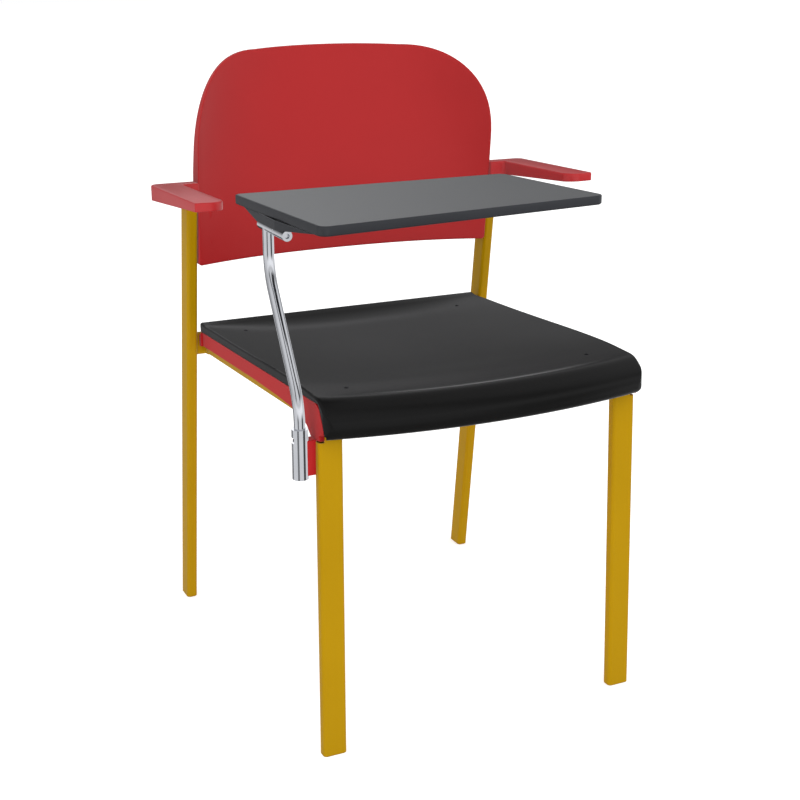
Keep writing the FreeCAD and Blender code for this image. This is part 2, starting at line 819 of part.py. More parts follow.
def back_prism(inset, bottom_inset):
    """Outline of the back shell, drawn in by an inset and pushed through in depth."""
    half = back_half_width - inset
    side_top = back_top - back_crown - back_corner_z
    corner = []
    for step in range(corner_steps + 1):
        angle = math.pi / 2 * step / corner_steps
        reach = max(math.cos(angle), 0) ** (2 / back_corner_power)
        climb = max(math.sin(angle), 0) ** (2 / back_corner_power)
        corner.append(Vector(half - back_corner_x + back_corner_x * reach, 0,
                             side_top + (back_corner_z - inset) * climb))
    left = [Vector(-p.x, 0, p.z) for p in reversed(corner)]
    low = back_bottom + bottom_inset
    low_right = Vector(half, 0, low)
    low_left = Vector(-half, 0, low)
    arch = Vector(0, 0, low + back_bottom_arch)
    crown = Vector(0, 0, back_top - inset)
    edges = [Part.Arc(low_left, arch, low_right).toShape(),
             Part.LineSegment(low_right, corner[0]).toShape(), smooth_edge(corner),
             Part.Arc(corner[-1], crown, left[0]).toShape(), smooth_edge(left),
             Part.LineSegment(left[-1], low_left).toShape()]
    return Part.Face(Part.Wire(edges)).extrude(Vector(0, far_reach, 0))


def post_frame(height):
    """Point on the post and the directions along and behind it."""
    along = (rear_leg_point(post_top_height) - rear_leg_point(0)).normalize()
    behind = X_AXIS.cross(along).normalize() * -1
    if behind.y < 0:
        behind = behind * -1
    return rear_leg_point(height), along, behind


def back_screw_places():
    """Seat of each screw head of the back shell on the +X side, with its direction."""
    places = []
    for height in (back_screw_low, back_screw_high):
        point, _, behind = post_frame(height)
        x = back_half_width - back_screw_inset
        place = Vector(x, point.y, point.z) + behind * (bracket_offset + bracket_thickness)
        places.append((place, behind * -1))
    return places


def back_shell():
    """Red back shell: curved panel, rim and the four screw bosses."""
    hollow = back_layer(back_thickness, lambda z: flange_depth + overrun)
    hollow = hollow.common(back_prism(flange_width, -overrun))
    shell = back_prism(0, 0).common(back_layer(0, flange_reach)).cut(hollow)
    for place, inward in back_screw_places():
        start = place + inward * (bracket_thickness + seat_gap)
        reach = start.y - back_surface(start.x, start.z) - back_thickness / 2
        boss = rod(start, inward, reach, back_boss_diameter)
        hole = rod(place, inward, bracket_thickness + back_screw_bite + seat_gap,
                   back_screw_shank + seat_gap)
        shell = shell.fuse([boss, mirrored(boss)]).cut([hole, mirrored(hole)])
    return shell.removeSplitter()


def back_bracket():
    """Steel strap on the inner side of a post, behind the rim of the back shell."""
    low_point, along, behind = post_frame(bracket_low)
    length = (rear_leg_point(bracket_high) - low_point).Length
    start = low_point + behind * (bracket_offset + bracket_thickness / 2)
    inner = Vector(back_half_width - bracket_reach, start.y, start.z)
    outer = Vector(low_point.x - tube_narrow / 2, start.y, start.z)
    half = behind * (bracket_thickness / 2)
    top = along * length
    tilt = Vector(top.x, 0, 0)
    strap = slab([inner - half, outer - half, outer + half, inner + half], [0] * 4, top)
    strap = strap.fuse(slab([inner - half, outer - half, outer + half, inner + half], [0] * 4, top - tilt))
    post = flat_tube(rear_leg_point(0), rear_leg_point(post_top_height), X_AXIS, tube_narrow, tube_broad, 0)
    strap = strap.cut(post).removeSplitter()
    for place, inward in back_screw_places():
        strap = strap.cut(rod(place - inward * overrun, inward, 2 * overrun + bracket_thickness,
                              back_screw_shank + seat_gap))
    return strap


def back_screws():
    """Four screws from behind through the brackets into the bosses."""
    screws = []
    for place, inward in back_screw_places():
        head = rod(place, inward * -1, back_screw_head_height, back_screw_head)
        screw = head.fuse(rod(place, inward, bracket_thickness + back_screw_bite, back_screw_shank))
        screws += [screw, mirrored(screw)]
    return Part.makeCompound(screws)


# Arms

def arm_screw_place():
    """Seat of the arm's screw head on the rear face of the post, with its direction."""
    point, along, behind = post_frame(post_top_height)
    return point - along * arm_screw_drop + behind * (tube_broad / 2), behind * -1


def arm():
    """Arm of the +X side: wedge with a cap over the post and a spigot in it."""
    outline = [(arm_outer_rear, arm_rear, arm_rear_round),
               (arm_outer_front, arm_front + arm_front_slant, arm_front_outer_round),
               (arm_inner_front, arm_front, arm_front_inner_round),
               (arm_inner_rear, arm_notch, arm_notch_round),
               (arm_cap_inner, arm_notch, 0), (arm_cap_inner, arm_rear, 0)]
    points = [Vector(x, y, 0) for x, y, _ in outline]
    body = slab(points, [radius for _, _, radius in outline], Vector(0, 0, far_reach))
    wedge = side_slab([(arm_front, arm_bottom_front), (arm_rear, arm_bottom_rear),
                       (arm_rear, arm_top_rear), (arm_front, arm_top_front)], 0, far_reach)
    body = body.common(wedge)
    rounded = [edge for edge in body.Edges if is_top_edge(edge)]
    body = body.makeFillet(arm_edge_round, rounded)
    point, along, _ = post_frame(post_top_height)
    pocket = flat_tube(rear_leg_point(bracket_low), point, X_AXIS, tube_narrow + 2 * seat_gap,
                       tube_broad + 2 * seat_gap, 0)
    fit = 2 * (tube_wall + spigot_fit)
    spigot = flat_tube(point - along * spigot_length, point, X_AXIS, tube_narrow - fit, tube_broad - fit, 0)
    place, inward = arm_screw_place()
    hole = rod(place, inward, arm_screw_bite, arm_screw_shank)
    return body.fuse(arm_heel()).cut(pocket).fuse(spigot).cut(hole).removeSplitter()


def arm_heel():
    """Part of the arm that closes the rear side of the post's upper end."""
    point, _, behind = post_frame(post_top_height)
    reach = point + behind * (tube_broad / 2 + heel_wall)
    low = Vector(arm_cap_inner, post_top_y, heel_low)
    return block(low, Vector(point.x + tube_narrow / 2 + heel_wall, reach.y, reach.z + heel_wall))


def is_top_edge(edge):
    """True for the edges around the arm's upper face, but not along its cap's inner side."""
    for vertex in edge.Vertexes:
        share = (vertex.Y - arm_front) / (arm_rear - arm_front)
        height = arm_top_front + (arm_top_rear - arm_top_front) * share
        if abs(vertex.Z - height) > seat_gap:
            return False
    return edge.CenterOfMass.x > arm_cap_inner + seat_gap


def arm_screws():
    """Screws through the rear faces of the posts into the arms' spigots."""
    place, inward = arm_screw_place()
    head = rod(place, inward * -1, arm_screw_head_height, arm_screw_head)
    screw = head.fuse(rod(place, inward, arm_screw_bite, arm_screw_shank))
    return Part.makeCompound([screw, mirrored(screw)])


# Tablet support

def polar(radius, degrees):
    """Offset from the swivel axis in a direction seen from above."""
    return Vector(radius * math.cos(math.radians(degrees)), radius * math.sin(math.radians(degrees)), 0)


def ring_sector(low, high, inner, outer, start, end):
    """Part of a ring round the swivel axis between two heights and two directions."""
    centre = Vector(swivel_x, swivel_y, low)
    middle = (start + end) / 2
    edges = [Part.Arc(centre + polar(outer, start), centre + polar(outer, middle),
                      centre + polar(outer, end)).toShape(),
             Part.LineSegment(centre + polar(outer, end), centre + polar(inner, end)).toShape(),
             Part.Arc(centre + polar(inner, end), centre + polar(inner, middle),
                      centre + polar(inner, start)).toShape(),
             Part.LineSegment(centre + polar(inner, start), centre + polar(outer, start)).toShape()]
    return Part.Face(Part.Wire(edges)).extrude(Vector(0, 0, high - low))


def tablet_socket():
    """Chrome socket with the slot that limits the swing."""
    base = Vector(swivel_x, swivel_y, socket_low)
    bore = support_outer + 2 * running_gap
    socket = rod(base, Z_AXIS, socket_high - socket_low, socket_outer)
    socket = socket.cut(rod(base - Z_AXIS * overrun, Z_AXIS, far_reach, bore))
    slot = ring_sector(slot_low, slot_high, support_outer / 2 - overrun / 2,
                       socket_outer / 2 + overrun, slot_start_degrees, slot_end_degrees)
    for height in (socket_bolt_low, socket_bolt_high):
        socket = socket.cut(socket_bolt(height, seat_gap / 2))
    return socket.cut(slot)


def leg_outer_x(height):
    """Outer face of the front leg on the tablet's side."""
    return -front_leg_point(height).x - tube_broad / 2


def socket_bolt(height, ease):
    """Bolt through leg and spacer into the socket, or its hole with some ease."""
    inner_x = -front_leg_point(height).x + tube_broad / 2
    start = Vector(inner_x, swivel_y, height)
    tip = swivel_x + socket_outer / 2 - socket_bolt_bite
    shank = rod(start, X_AXIS * -1, inner_x - tip + ease, socket_bolt_shank + 2 * ease)
    head = rod(start, X_AXIS, socket_bolt_head_height + ease, socket_bolt_head + 2 * ease)
    return head.fuse(shank)


def socket_spacer():
    """Red block between the front leg and the socket."""
    middle = (spacer_low + spacer_high) / 2
    low = Vector(swivel_x, swivel_y - spacer_front, spacer_low)
    high = Vector(leg_outer_x(middle) + overrun, swivel_y + spacer_rear, spacer_high)
    spacer = block(low, high)
    round_part = rod(Vector(swivel_x, swivel_y, socket_low), Z_AXIS, far_reach, socket_outer)
    leg = mirrored(flat_tube(front_leg_point(0), front_leg_point(socket_high), X_AXIS,
                             tube_broad, spacer_cutter_share * tube_narrow, 0))
    spacer = spacer.cut([round_part, leg])
    spacer = max(spacer.Solids, key=lambda solid: solid.Volume)
    for height in (socket_bolt_low, socket_bolt_high):
        spacer = spacer.cut(socket_bolt(height, seat_gap / 2))
    return spacer


def socket_bolts():
    """Two bolts that hold the socket."""
    return Part.makeCompound([socket_bolt(height, 0) for height in (socket_bolt_low, socket_bolt_high)])


def socket_plug():
    """Chromed plug that closes the socket and carries the foot of the support tube."""
    base = Vector(swivel_x, swivel_y, socket_low - plug_flange)
    plug = rod(base, Z_AXIS, plug_flange, socket_outer)
    return plug.fuse(rod(base, Z_AXIS, plug_flange + plug_height, support_outer))


def support_path(low):
    """Centre line of the support tube with its two bends, from a height upwards."""
    top = hinge_point(hinge_y)
    foot = Vector(swivel_x, swivel_y, low)
    corners = [foot, Vector(swivel_x, swivel_y, support_low_bend),
               Vector(top.x, top.y, support_high_bend), top]
    edges = []
    start = corners[0]
    for index in (1, 2):
        corner = corners[index]
        before = (corners[index - 1] - corner).normalize()
        after = (corners[index + 1] - corner).normalize()
        half = before.getAngle(after) / 2
        tangent = support_bend_radius / math.tan(half)
        middle = (before + after).normalize() * (support_bend_radius / math.sin(half) - support_bend_radius)
        first = corner + before * tangent
        edges.append(Part.LineSegment(start, first).toShape())
        edges.append(Part.Arc(first, corner + middle, corner + after * tangent).toShape())
        start = corner + after * tangent
    edges.append(Part.LineSegment(start, top).toShape())
    return Part.Wire(edges)


def support_tube():
    """Bent tube that carries the tablet, with the hole of its index pin."""
    low = socket_low + plug_height + seat_gap
    path = support_path(low)
    base = Vector(swivel_x, swivel_y, low)

    def swept(diameter):
        ring = Part.Wire([Part.makeCircle(diameter / 2, base, Z_AXIS)])
        return path.makePipeShell([ring], True, False)

    barrel = rod(hinge_point(barrel_rear), Y_AXIS * -1, barrel_length, barrel_outer)
    top_cut = block(Vector(-far_reach, -far_reach, hinge_height - support_top_drop),
                    Vector(0, far_reach, far_reach))
    tube = swept(support_outer).cut(swept(support_outer - 2 * support_wall))
    return tube.cut([barrel, top_cut, index_pin(0)])


def index_pin(ease):
    """Pin across the support tube's wall that runs in the socket's slot."""
    height = (slot_low + slot_high) / 2
    outward = polar(1, index_pin_degrees)
    start = Vector(swivel_x, swivel_y, height) + outward * (support_outer / 2 - support_wall - ease)
    return rod(start, outward, support_wall + index_pin_reach + ease, index_pin_diameter + 2 * ease)


# Tablet hinge

def hinge_point(y):
    """Point of the tablet's hinge axis."""
    return Vector(hinge_x, y, hinge_height)


def hinge_barrel():
    """Barrel welded across the head of the support tube, with the stop lug."""
    barrel = rod(hinge_point(barrel_rear), Y_AXIS * -1, barrel_length, barrel_outer)
    axis = hinge_point(stop_rear)
    lug = block(Vector(axis.x, stop_rear - stop_length, hinge_height),
                Vector(axis.x + barrel_outer / 2 + stop_width, stop_rear,
                       tablet_under - plate_thickness - stop_gap))
    barrel = barrel.fuse(lug)
    return barrel.cut(rod(hinge_point(barrel_rear + overrun), Y_AXIS * -1, far_reach, barrel_bore))


def hinge_bushes():
    """Flanged plastic bushes in both ends of the barrel."""
    bore = hinge_pin_diameter + 2 * running_gap
    bushes = []
    for end, outward in ((barrel_rear, Y_AXIS), (barrel_front, Y_AXIS * -1)):
        face = hinge_point(end)
        bush = rod(face, outward, bush_flange, bush_flange_diameter)
        bush = bush.fuse(rod(face, outward * -1, bush_depth, barrel_bore))
        bushes.append(bush.cut(rod(face + outward * overrun, outward * -1, far_reach, bore)))
    return Part.makeCompound(bushes)


def hinge_pin():
    """Headed pin through bushes and knuckle."""
    head_face = barrel_rear + bush_flange + knuckle_gap
    tip = knuckle_rear - knuckle_length
    head = rod(hinge_point(head_face), Y_AXIS, pin_head_length, pin_head_diameter)
    return head.fuse(rod(hinge_point(head_face), Y_AXIS * -1, head_face - tip, hinge_pin_diameter))


def tablet_bracket():
    """Steel plate under the tablet with a web down to the hinge knuckle."""
    high = tablet_under
    low = high - plate_thickness
    plate = block(Vector(plate_outer_x, plate_front, low), Vector(plate_inner_x, plate_rear, high))
    start = knuckle_rear
    knuckle = rod(hinge_point(start), Y_AXIS * -1, knuckle_length, barrel_outer)
    web = block(Vector(hinge_x, start - knuckle_length, hinge_height),
                Vector(hinge_x + web_thickness, start, high))
    bracket = plate.fuse([knuckle, web])
    bracket = bracket.cut(rod(hinge_point(start + overrun), Y_AXIS * -1, far_reach, hinge_pin_diameter))
    for x, y in tablet_screw_places():
        bracket = bracket.cut(tablet_screw(x, y, seat_gap / 2))
    return bracket.removeSplitter()


def tablet_screw_places():
    """Where the bracket is screwed to the board."""
    xs = (plate_inner_x - tablet_screw_inset, hinge_x + web_thickness + tablet_screw_inset)
    ys = (plate_rear - tablet_screw_inset, plate_front + tablet_screw_inset)
    return [(x, y) for x in xs for y in ys]


def tablet_screw(x, y, ease):
    """Screw from below through the bracket plate, or its hole with some ease."""
    face = Vector(x, y, tablet_under - plate_thickness)
    head = rod(face - Z_AXIS * (tablet_screw_head_height + ease), Z_AXIS,
               tablet_screw_head_height + ease, tablet_screw_head + 2 * ease)
    return head.fuse(rod(face, Z_AXIS, plate_thickness + tablet_screw_bite + ease,
                         tablet_screw_shank + 2 * ease))


def tablet_outline(inset, low):
    """Corners of the tablet's plan at a height, drawn in by an inset, with radii."""
    corners = [Vector(tablet_rear_left_x + inset, tablet_rear_y - inset, low),
               Vector(tablet_front_left_x + inset, tablet_front_left_y + inset, low),
               Vector(tablet_front_right_x - inset, tablet_front_right_y + inset, low),
               Vector(tablet_rear_right_x - inset, tablet_rear_y - inset, low)]
    radii = [tablet_round_small, tablet_round, tablet_round, tablet_round]
    return corners, [radius - inset for radius in radii]


def tablet_plate(inset, low, height):
    """Plate with the tablet's outline."""
    corners, radii = tablet_outline(inset, low)
    return slab(corners, radii, Vector(0, 0, height))


def tablet_board():
    """Core of the tablet."""
    board = tablet_plate(edge_band, tablet_under, tablet_thickness - laminate_thickness)
    for x, y in tablet_screw_places():
        board = board.cut(tablet_screw(x, y, 0))
    return board


def tablet_laminate():
    """Writing surface on the core."""
    return tablet_plate(edge_band, tablet_top - laminate_thickness, laminate_thickness)


def tablet_edge():
    """Dark bevelled edge band round the board."""
    band = tablet_plate(0, tablet_under, tablet_thickness)
    outer = [edge for edge in band.Edges if abs(edge.CenterOfMass.z - tablet_under) < edge_bevel]
    band = band.makeChamfer(edge_bevel, outer)
    return band.cut(tablet_plate(edge_band, tablet_under, tablet_thickness))


def tablet_housing():
    """Dark wedge-shaped cover under the tablet's outer side, hollow above its floor."""
    high = tablet_under

    def hull(shrink):
        floor = housing_floor + shrink
        outer = housing_outer_x + shrink
        inner = housing_inner_x - shrink
        top = high if shrink == 0 else high + overrun
        profile = [(housing_rear_tip - shrink, top), (housing_rear_foot - shrink / 2, floor),
                   (housing_front_foot + shrink / 2, floor), (housing_front_tip + shrink, top)]
        body = side_slab(profile, outer, inner)
        slope = slab([Vector(outer - overrun, 0, floor), Vector(plate_inner_x, 0, floor),
                      Vector(inner, 0, high), Vector(inner, 0, top + overrun),
                      Vector(outer - overrun, 0, top + overrun)], [0] * 5, Vector(0, -far_reach, 0))
        plan = slab([Vector(outer, housing_rear_tip, 0), Vector(outer, housing_rear_foot, 0),
                     Vector(outer, housing_front_foot, 0),
                     Vector(housing_front_outer_x + shrink, housing_front_tip, 0),
                     Vector(inner, housing_inner_front + shrink, 0),
                     Vector(inner, housing_inner_rear - shrink, 0)], [0] * 6,
                    Vector(0, 0, far_reach))
        return body.common(slope).common(plan)

    housing = hull(0).cut(hull(housing_wall))
    start = knuckle_rear
    slot = block(Vector(hinge_x - seat_gap, start - knuckle_length - seat_gap, housing_floor - overrun),
                 Vector(hinge_x + web_thickness + seat_gap, start + seat_gap, high))
    stop = block(Vector(hinge_x - seat_gap, stop_rear - stop_length - seat_gap, housing_floor - overrun),
                 Vector(hinge_x + stop_slot, stop_rear + seat_gap, high))
    return housing.cut([slot, stop]).removeSplitter()


def tablet_screws():
    """Four screws that hold the bracket to the board."""
    return Part.makeCompound([tablet_screw(x, y, 0) for x, y in tablet_screw_places()])


def build():
    """Every piece of the chair by its name."""
    leg = front_leg()
    bolt_holes = [socket_bolt(height, seat_gap / 2) for height in (socket_bolt_low, socket_bolt_high)]
    post = rear_leg()
    rail = side_rail()
    place, inward = arm_screw_place()
    post = post.cut(rod(place + inward * -overrun, inward, 2 * overrun, arm_screw_shank + seat_gap))
    front_glide = foot_glide(front_leg_point, tube_broad, tube_narrow)
    rear_glide = foot_glide(rear_leg_point, tube_narrow, tube_broad)
    return {
        "front_leg_left": leg,
        "front_leg_right": mirrored(leg).cut(bolt_holes),
        "rear_leg_left": post,
        "rear_leg_right": mirrored(post),
        "side_rail_left": rail,
        "side_rail_right": mirrored(rail),
        "front_cross_rail": cross_rail(seat_screw_front_y),
        "seat_cross_rail": cross_rail(seat_screw_rear_y),
        "rear_cross_rail": rear_cross_rail(),
        "foot_glide_front_left": front_glide,
        "foot_glide_front_right": mirrored(front_glide),
        "foot_glide_rear_left": rear_glide,
        "foot_glide_rear_right": mirrored(rear_glide),
        "seat_shell": seat_shell(),
        "seat_pan": seat_pan(),
        "seat_screws": to_seat(Part.makeCompound([seat_screw(x, y, 0) for x, y in seat_screw_places()])),
        "back_shell": back_shell(),
        "back_bracket_left": back_bracket(),
        "back_bracket_right": mirrored(back_bracket()),
        "back_screws": back_screws(),
        "arm_left": arm(),
        "arm_right": mirrored(arm()),
        "arm_screws": arm_screws(),
        "tablet_socket": tablet_socket(),
        "socket_spacer": socket_spacer(),
        "socket_bolts": socket_bolts(),
        "socket_plug": socket_plug(),
        "support_tube": support_tube(),
        "index_pin": index_pin(0),
        "hinge_barrel": hinge_barrel(),
        "hinge_bushes": hinge_bushes(),
        "hinge_pin": hinge_pin(),
        "tablet_bracket": tablet_bracket(),
        "tablet_housing": tablet_housing(),
        "tablet_board": tablet_board(),
        "tablet_laminate": tablet_laminate(),
        "tablet_edge": tablet_edge(),
        "tablet_screws": tablet_screws(),
    }


def main():
    """Write one file per piece."""
    os.makedirs("parts", exist_ok=True)
    for name, shape in build().items():
        shape.exportStep("parts/" + name + ".step")
        print(name, len(shape.Solids), shape.isValid(), round(shape.Volume), shape.BoundBox)


main()
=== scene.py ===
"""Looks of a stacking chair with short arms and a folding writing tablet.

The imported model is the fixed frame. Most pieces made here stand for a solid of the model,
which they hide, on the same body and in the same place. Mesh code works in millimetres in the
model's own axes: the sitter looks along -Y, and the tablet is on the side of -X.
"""

import logging
import math
from abc import ABC, abstractmethod
from collections.abc import Callable, Iterable, Sequence
from dataclasses import dataclass, field
from enum import Enum

import bmesh
import bpy
import numpy as np
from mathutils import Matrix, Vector


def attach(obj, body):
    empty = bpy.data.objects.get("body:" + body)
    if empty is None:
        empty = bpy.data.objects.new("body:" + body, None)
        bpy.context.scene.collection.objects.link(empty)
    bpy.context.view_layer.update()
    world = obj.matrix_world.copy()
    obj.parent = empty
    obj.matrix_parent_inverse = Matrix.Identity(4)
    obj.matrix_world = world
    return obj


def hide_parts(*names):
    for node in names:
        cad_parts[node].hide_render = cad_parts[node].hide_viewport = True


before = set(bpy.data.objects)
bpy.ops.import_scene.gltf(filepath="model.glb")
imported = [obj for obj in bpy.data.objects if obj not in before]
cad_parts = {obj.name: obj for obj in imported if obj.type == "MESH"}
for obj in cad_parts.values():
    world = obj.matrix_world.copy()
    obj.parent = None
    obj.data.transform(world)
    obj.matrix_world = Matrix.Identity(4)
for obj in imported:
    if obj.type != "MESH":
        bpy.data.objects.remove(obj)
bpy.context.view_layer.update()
METRES = 0.001
UP = Vector((0.0, 0.0, 1.0))
ACROSS = Vector((1.0, 0.0, 0.0))
DEPTH = Vector((0.0, 1.0, 0.0))
log = logging.getLogger("chair")

Pair = tuple[float, float]
Triple = tuple[float, float, float]
Rgba = tuple[float, float, float, float]

MERGE_REACH = 0.000002         # metres, below which two points of a new piece are one
WELD_REACH = 0.000005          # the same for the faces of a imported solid
FLAT_DEGREES = 0.5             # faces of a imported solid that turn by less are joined
BEVEL_SEGMENTS = 2
ROUND_STEPS = 4                # steps of a rounded edge


class Side(Enum):
    """The two sides of the chair, as the sign of their x."""

    LEFT = 1.0
    RIGHT = -1.0


class Body(Enum):
    """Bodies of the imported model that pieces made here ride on."""

    CHAIR = "chair"
    TABLET = "tablet"


class Recess(Enum):
    """Shapes of the drive in a screw head."""

    CROSS = "cross"
    HEXAGON = "hexagon"


def srgb(red: float, green: float, blue: float) -> Rgba:
    """Turn a display colour into the linear colour that a shader takes.

    Args:
        red: Red from 0 to 255.
        green: Green from 0 to 255.
        blue: Blue from 0 to 255.

    Returns:
        The linear colour with full alpha.
    """
    def channel(value: float) -> float:
        """Linear share of one channel."""
        share = value / 255.0
        return share / 12.92 if share <= 0.04045 else ((share + 0.055) / 1.055) ** 2.4

    return channel(red), channel(green), channel(blue), 1.0


class Value:
    """A shader socket that can stand in sums, products and powers."""

    def __init__(self, recipe: "Recipe", socket: bpy.types.NodeSocket) -> None:
        """Keep the socket with the recipe that it belongs to.

        Args:
            recipe: The node tree that new nodes go into.
            socket: The output socket.
        """
        self.recipe = recipe
        self.socket = socket

    def _math(self, operation: str, first: object, second: object) -> "Value":
        """One Math node between two values."""
        return self.recipe.add("ShaderNodeMath", {"operation": operation}, {0: first, 1: second})

    def __add__(self, other: object) -> "Value":
        """Sum of two values."""
        return self._math("ADD", self, other)

    def __radd__(self, other: object) -> "Value":
        """Sum with a number on the left."""
        return self._math("ADD", other, self)

    def __sub__(self, other: object) -> "Value":
        """Difference of two values."""
        return self._math("SUBTRACT", self, other)

    def __rsub__(self, other: object) -> "Value":
        """Difference with a number on the left."""
        return self._math("SUBTRACT", other, self)

    def __mul__(self, other: object) -> "Value":
        """Product of two values."""
        return self._math("MULTIPLY", self, other)

    def __rmul__(self, other: object) -> "Value":
        """Product with a number on the left."""
        return self._math("MULTIPLY", other, self)

    def __pow__(self, other: object) -> "Value":
        """Power of a value."""
        return self._math("POWER", self, other)

    def __rpow__(self, other: object) -> "Value":
        """Power with a number as its base."""
        return self._math("POWER", other, self)


class Recipe:
    """The node tree of one finish or of the surroundings."""

    def __init__(self, owner: bpy.types.Material | bpy.types.World) -> None:
        """Empty the owner's node tree.

        Args:
            owner: The material or world that the nodes belong to.
        """
        owner.use_nodes = True
        self.tree = owner.node_tree
        self.tree.nodes.clear()

    def add(self, kind: str, settings: dict[str, object], sockets: dict[str | int, object],
            output: str | int = 0) -> Value:
        """Make a node of any kind.

        Args:
            kind: The node's type.
            settings: What is set on the node before its sockets; ``stops`` fills a colour ramp.
            sockets: Numbers, colours or values for its input sockets, by name or number.
            output: The output that is handed back.

        Returns:
            The named output of the new node.
        """
        node = self.tree.nodes.new(kind)
        for name, setting in settings.items():
            if name == "stops":
                self._fill_ramp(node.color_ramp, setting)
            else:
                setattr(node, name, setting)
        for name, given in sockets.items():
            if isinstance(given, Value):
                self.tree.links.new(given.socket, node.inputs[name])
            else:
                node.inputs[name].default_value = given
        return Value(self, node.outputs[output] if node.outputs else node.inputs[0])

    @staticmethod
    def _fill_ramp(ramp: bpy.types.ColorRamp, stops: Sequence[tuple[float, Rgba]]) -> None:
        """Set the stops of a colour ramp.

        Args:
            ramp: The ramp of a new node, with its first two stops.
            stops: Place and colour of each stop.
        """
        while len(ramp.elements) < len(stops):
            ramp.elements.new(1.0)
        for element, (position, colour) in zip(ramp.elements, stops):
            element.position = position
            element.color = colour

    def place(self) -> Value:
        """Place on the piece, in metres of the model."""
        return self.add("ShaderNodeTexCoord", {}, {}, "Object")

    def split(self, vector: Value) -> tuple[Value, Value, Value]:
        """Take a vector apart into its three numbers."""
        first = self.add("ShaderNodeSeparateXYZ", {}, {"Vector": vector})
        return tuple(Value(self, output) for output in first.socket.node.outputs)

    def noise(self, place: Value, scale: float, detail: float = 2.0) -> Value:
        """Soft noise from 0 to 1 with features of one part in ``scale`` metres."""
        sockets = {"Vector": place, "Scale": scale, "Detail": detail}
        return self.add("ShaderNodeTexNoise", {}, sockets, "Fac")

    def climb(self, value: Value, ends: Pair) -> Value:
        """Share from 0 to 1 of the way between two ends."""
        sockets = {0: value, 1: ends[0], 2: ends[1], 3: 0.0, 4: 1.0}
        return self.add("ShaderNodeMapRange", {}, sockets)

    def ramp(self, share: Value, stops: Sequence[tuple[float, Rgba]]) -> Value:
        """Colour of a ramp at a share."""
        return self.add("ShaderNodeValToRGB", {"stops": stops}, {"Fac": share})

    def mix(self, first: object, second: object, share: object) -> Value:
        """Mix two colours by a share."""
        return self.add("ShaderNodeMix", {"data_type": "RGBA"}, {6: first, 7: second, 0: share}, 2)

    def bump(self, height: Value, depth: float) -> Value:
        """Normal of a relief that is ``depth`` metres deep."""
        sockets = {"Height": height, "Distance": depth, "Strength": 1.0}
        return self.add("ShaderNodeBump", {}, sockets)

    def surface(self, sockets: dict[str | int, object]) -> None:
        """Finish the tree with the surface shader."""
        shader = self.add("ShaderNodeBsdfPrincipled", {}, sockets)
        self.add("ShaderNodeOutputMaterial", {}, {"Surface": shader})


@dataclass(frozen=True)
class Finish(ABC):
    """A finish and the record's material slot that it shows."""

    name: str
    slot: str

    @abstractmethod
    def paint(self, recipe: Recipe) -> None:
        """Fill the material's node tree."""

    def material(self) -> bpy.types.Material:
        """Make the finish's material, or find it where it is made already.

        Returns:
            The material.
        """
        found = bpy.data.materials.get(self.name)
        if found is None:
            found = bpy.data.materials.new(self.name)
            self.paint(Recipe(found))
        return found


@dataclass(frozen=True)
class MouldedPlastic(Finish):
    """Injection-moulded plastic with a fine eroded grain and slight flow clouds."""

    dark: Rgba
    light: Rgba
    roughness: float
    specular: float = 0.5
    cloud_scale: float = 7.0
    speck_scale: float = 900.0
    detail: float = 3.0
    cloud_share: float = 0.7
    cloud_haze: float = 0.08
    speck_haze: float = 0.1
    relief: float = 0.00003

    def paint(self, recipe: Recipe) -> None:
        """Fill the material's node tree.

        Args:
            recipe: The material's node tree.
        """
        place = recipe.place()
        cloud = recipe.noise(place, self.cloud_scale, self.detail)
        speck = recipe.noise(place, self.speck_scale, self.detail)
        tint = cloud * self.cloud_share + speck * (1 - self.cloud_share)
        haze = (cloud - 0.5) * self.cloud_haze
        recipe.surface({
            "Base Color": recipe.mix(self.dark, self.light, tint),
            "Roughness": self.roughness + haze + (speck - 0.5) * self.speck_haze,
            "Specular IOR Level": self.specular,
            "Normal": recipe.bump(speck, self.relief),
        })


@dataclass(frozen=True)
class PowderCoat(Finish):
    """Glossy powder coat with the fine orange peel of a baked coat."""

    dark: Rgba
    light: Rgba
    roughness: float = 0.34
    specular: float = 0.06
    peel_scale: float = 420.0
    peel_detail: float = 1.0
    cloud_scale: float = 9.0
    cloud_share: float = 0.8
    cloud_haze: float = 0.06
    relief: float = 0.00006

    def paint(self, recipe: Recipe) -> None:
        """Fill the material's node tree.

        Args:
            recipe: The material's node tree.
        """
        place = recipe.place()
        peel = recipe.noise(place, self.peel_scale, self.peel_detail)
        cloud = recipe.noise(place, self.cloud_scale)
        tint = cloud * self.cloud_share + peel * (1 - self.cloud_share)
        recipe.surface({
            "Base Color": recipe.mix(self.dark, self.light, tint),
            "Roughness": self.roughness + (cloud - 0.5) * self.cloud_haze,
            "Specular IOR Level": self.specular,
            "Normal": recipe.bump(peel, self.relief),
        })


@dataclass(frozen=True)
class PlatedSteel(Finish):
    """Plated or bare steel: mirror chrome, or zinc with a dull bloom."""

    colour: Rgba
    bloom: Rgba
    roughness: float
    haze_scale: float = 60.0
    haze_detail: float = 4.0
    haze_power: float = 2.0
    haze_gain: float = 0.6
    fine_scale: float = 1500.0
    relief: float = 0.000004

    def paint(self, recipe: Recipe) -> None:
        """Fill the material's node tree.

        Args:
            recipe: The material's node tree.
        """
        place = recipe.place()
        haze = recipe.noise(place, self.haze_scale, self.haze_detail)
        fine = recipe.noise(place, self.fine_scale)
        recipe.surface({
            "Base Color": recipe.mix(self.colour, self.bloom, haze ** self.haze_power),
            "Metallic": 1.0,
            "Roughness": self.roughness + haze * self.roughness * self.haze_gain,
            "Normal": recipe.bump(fine, self.relief),
        })


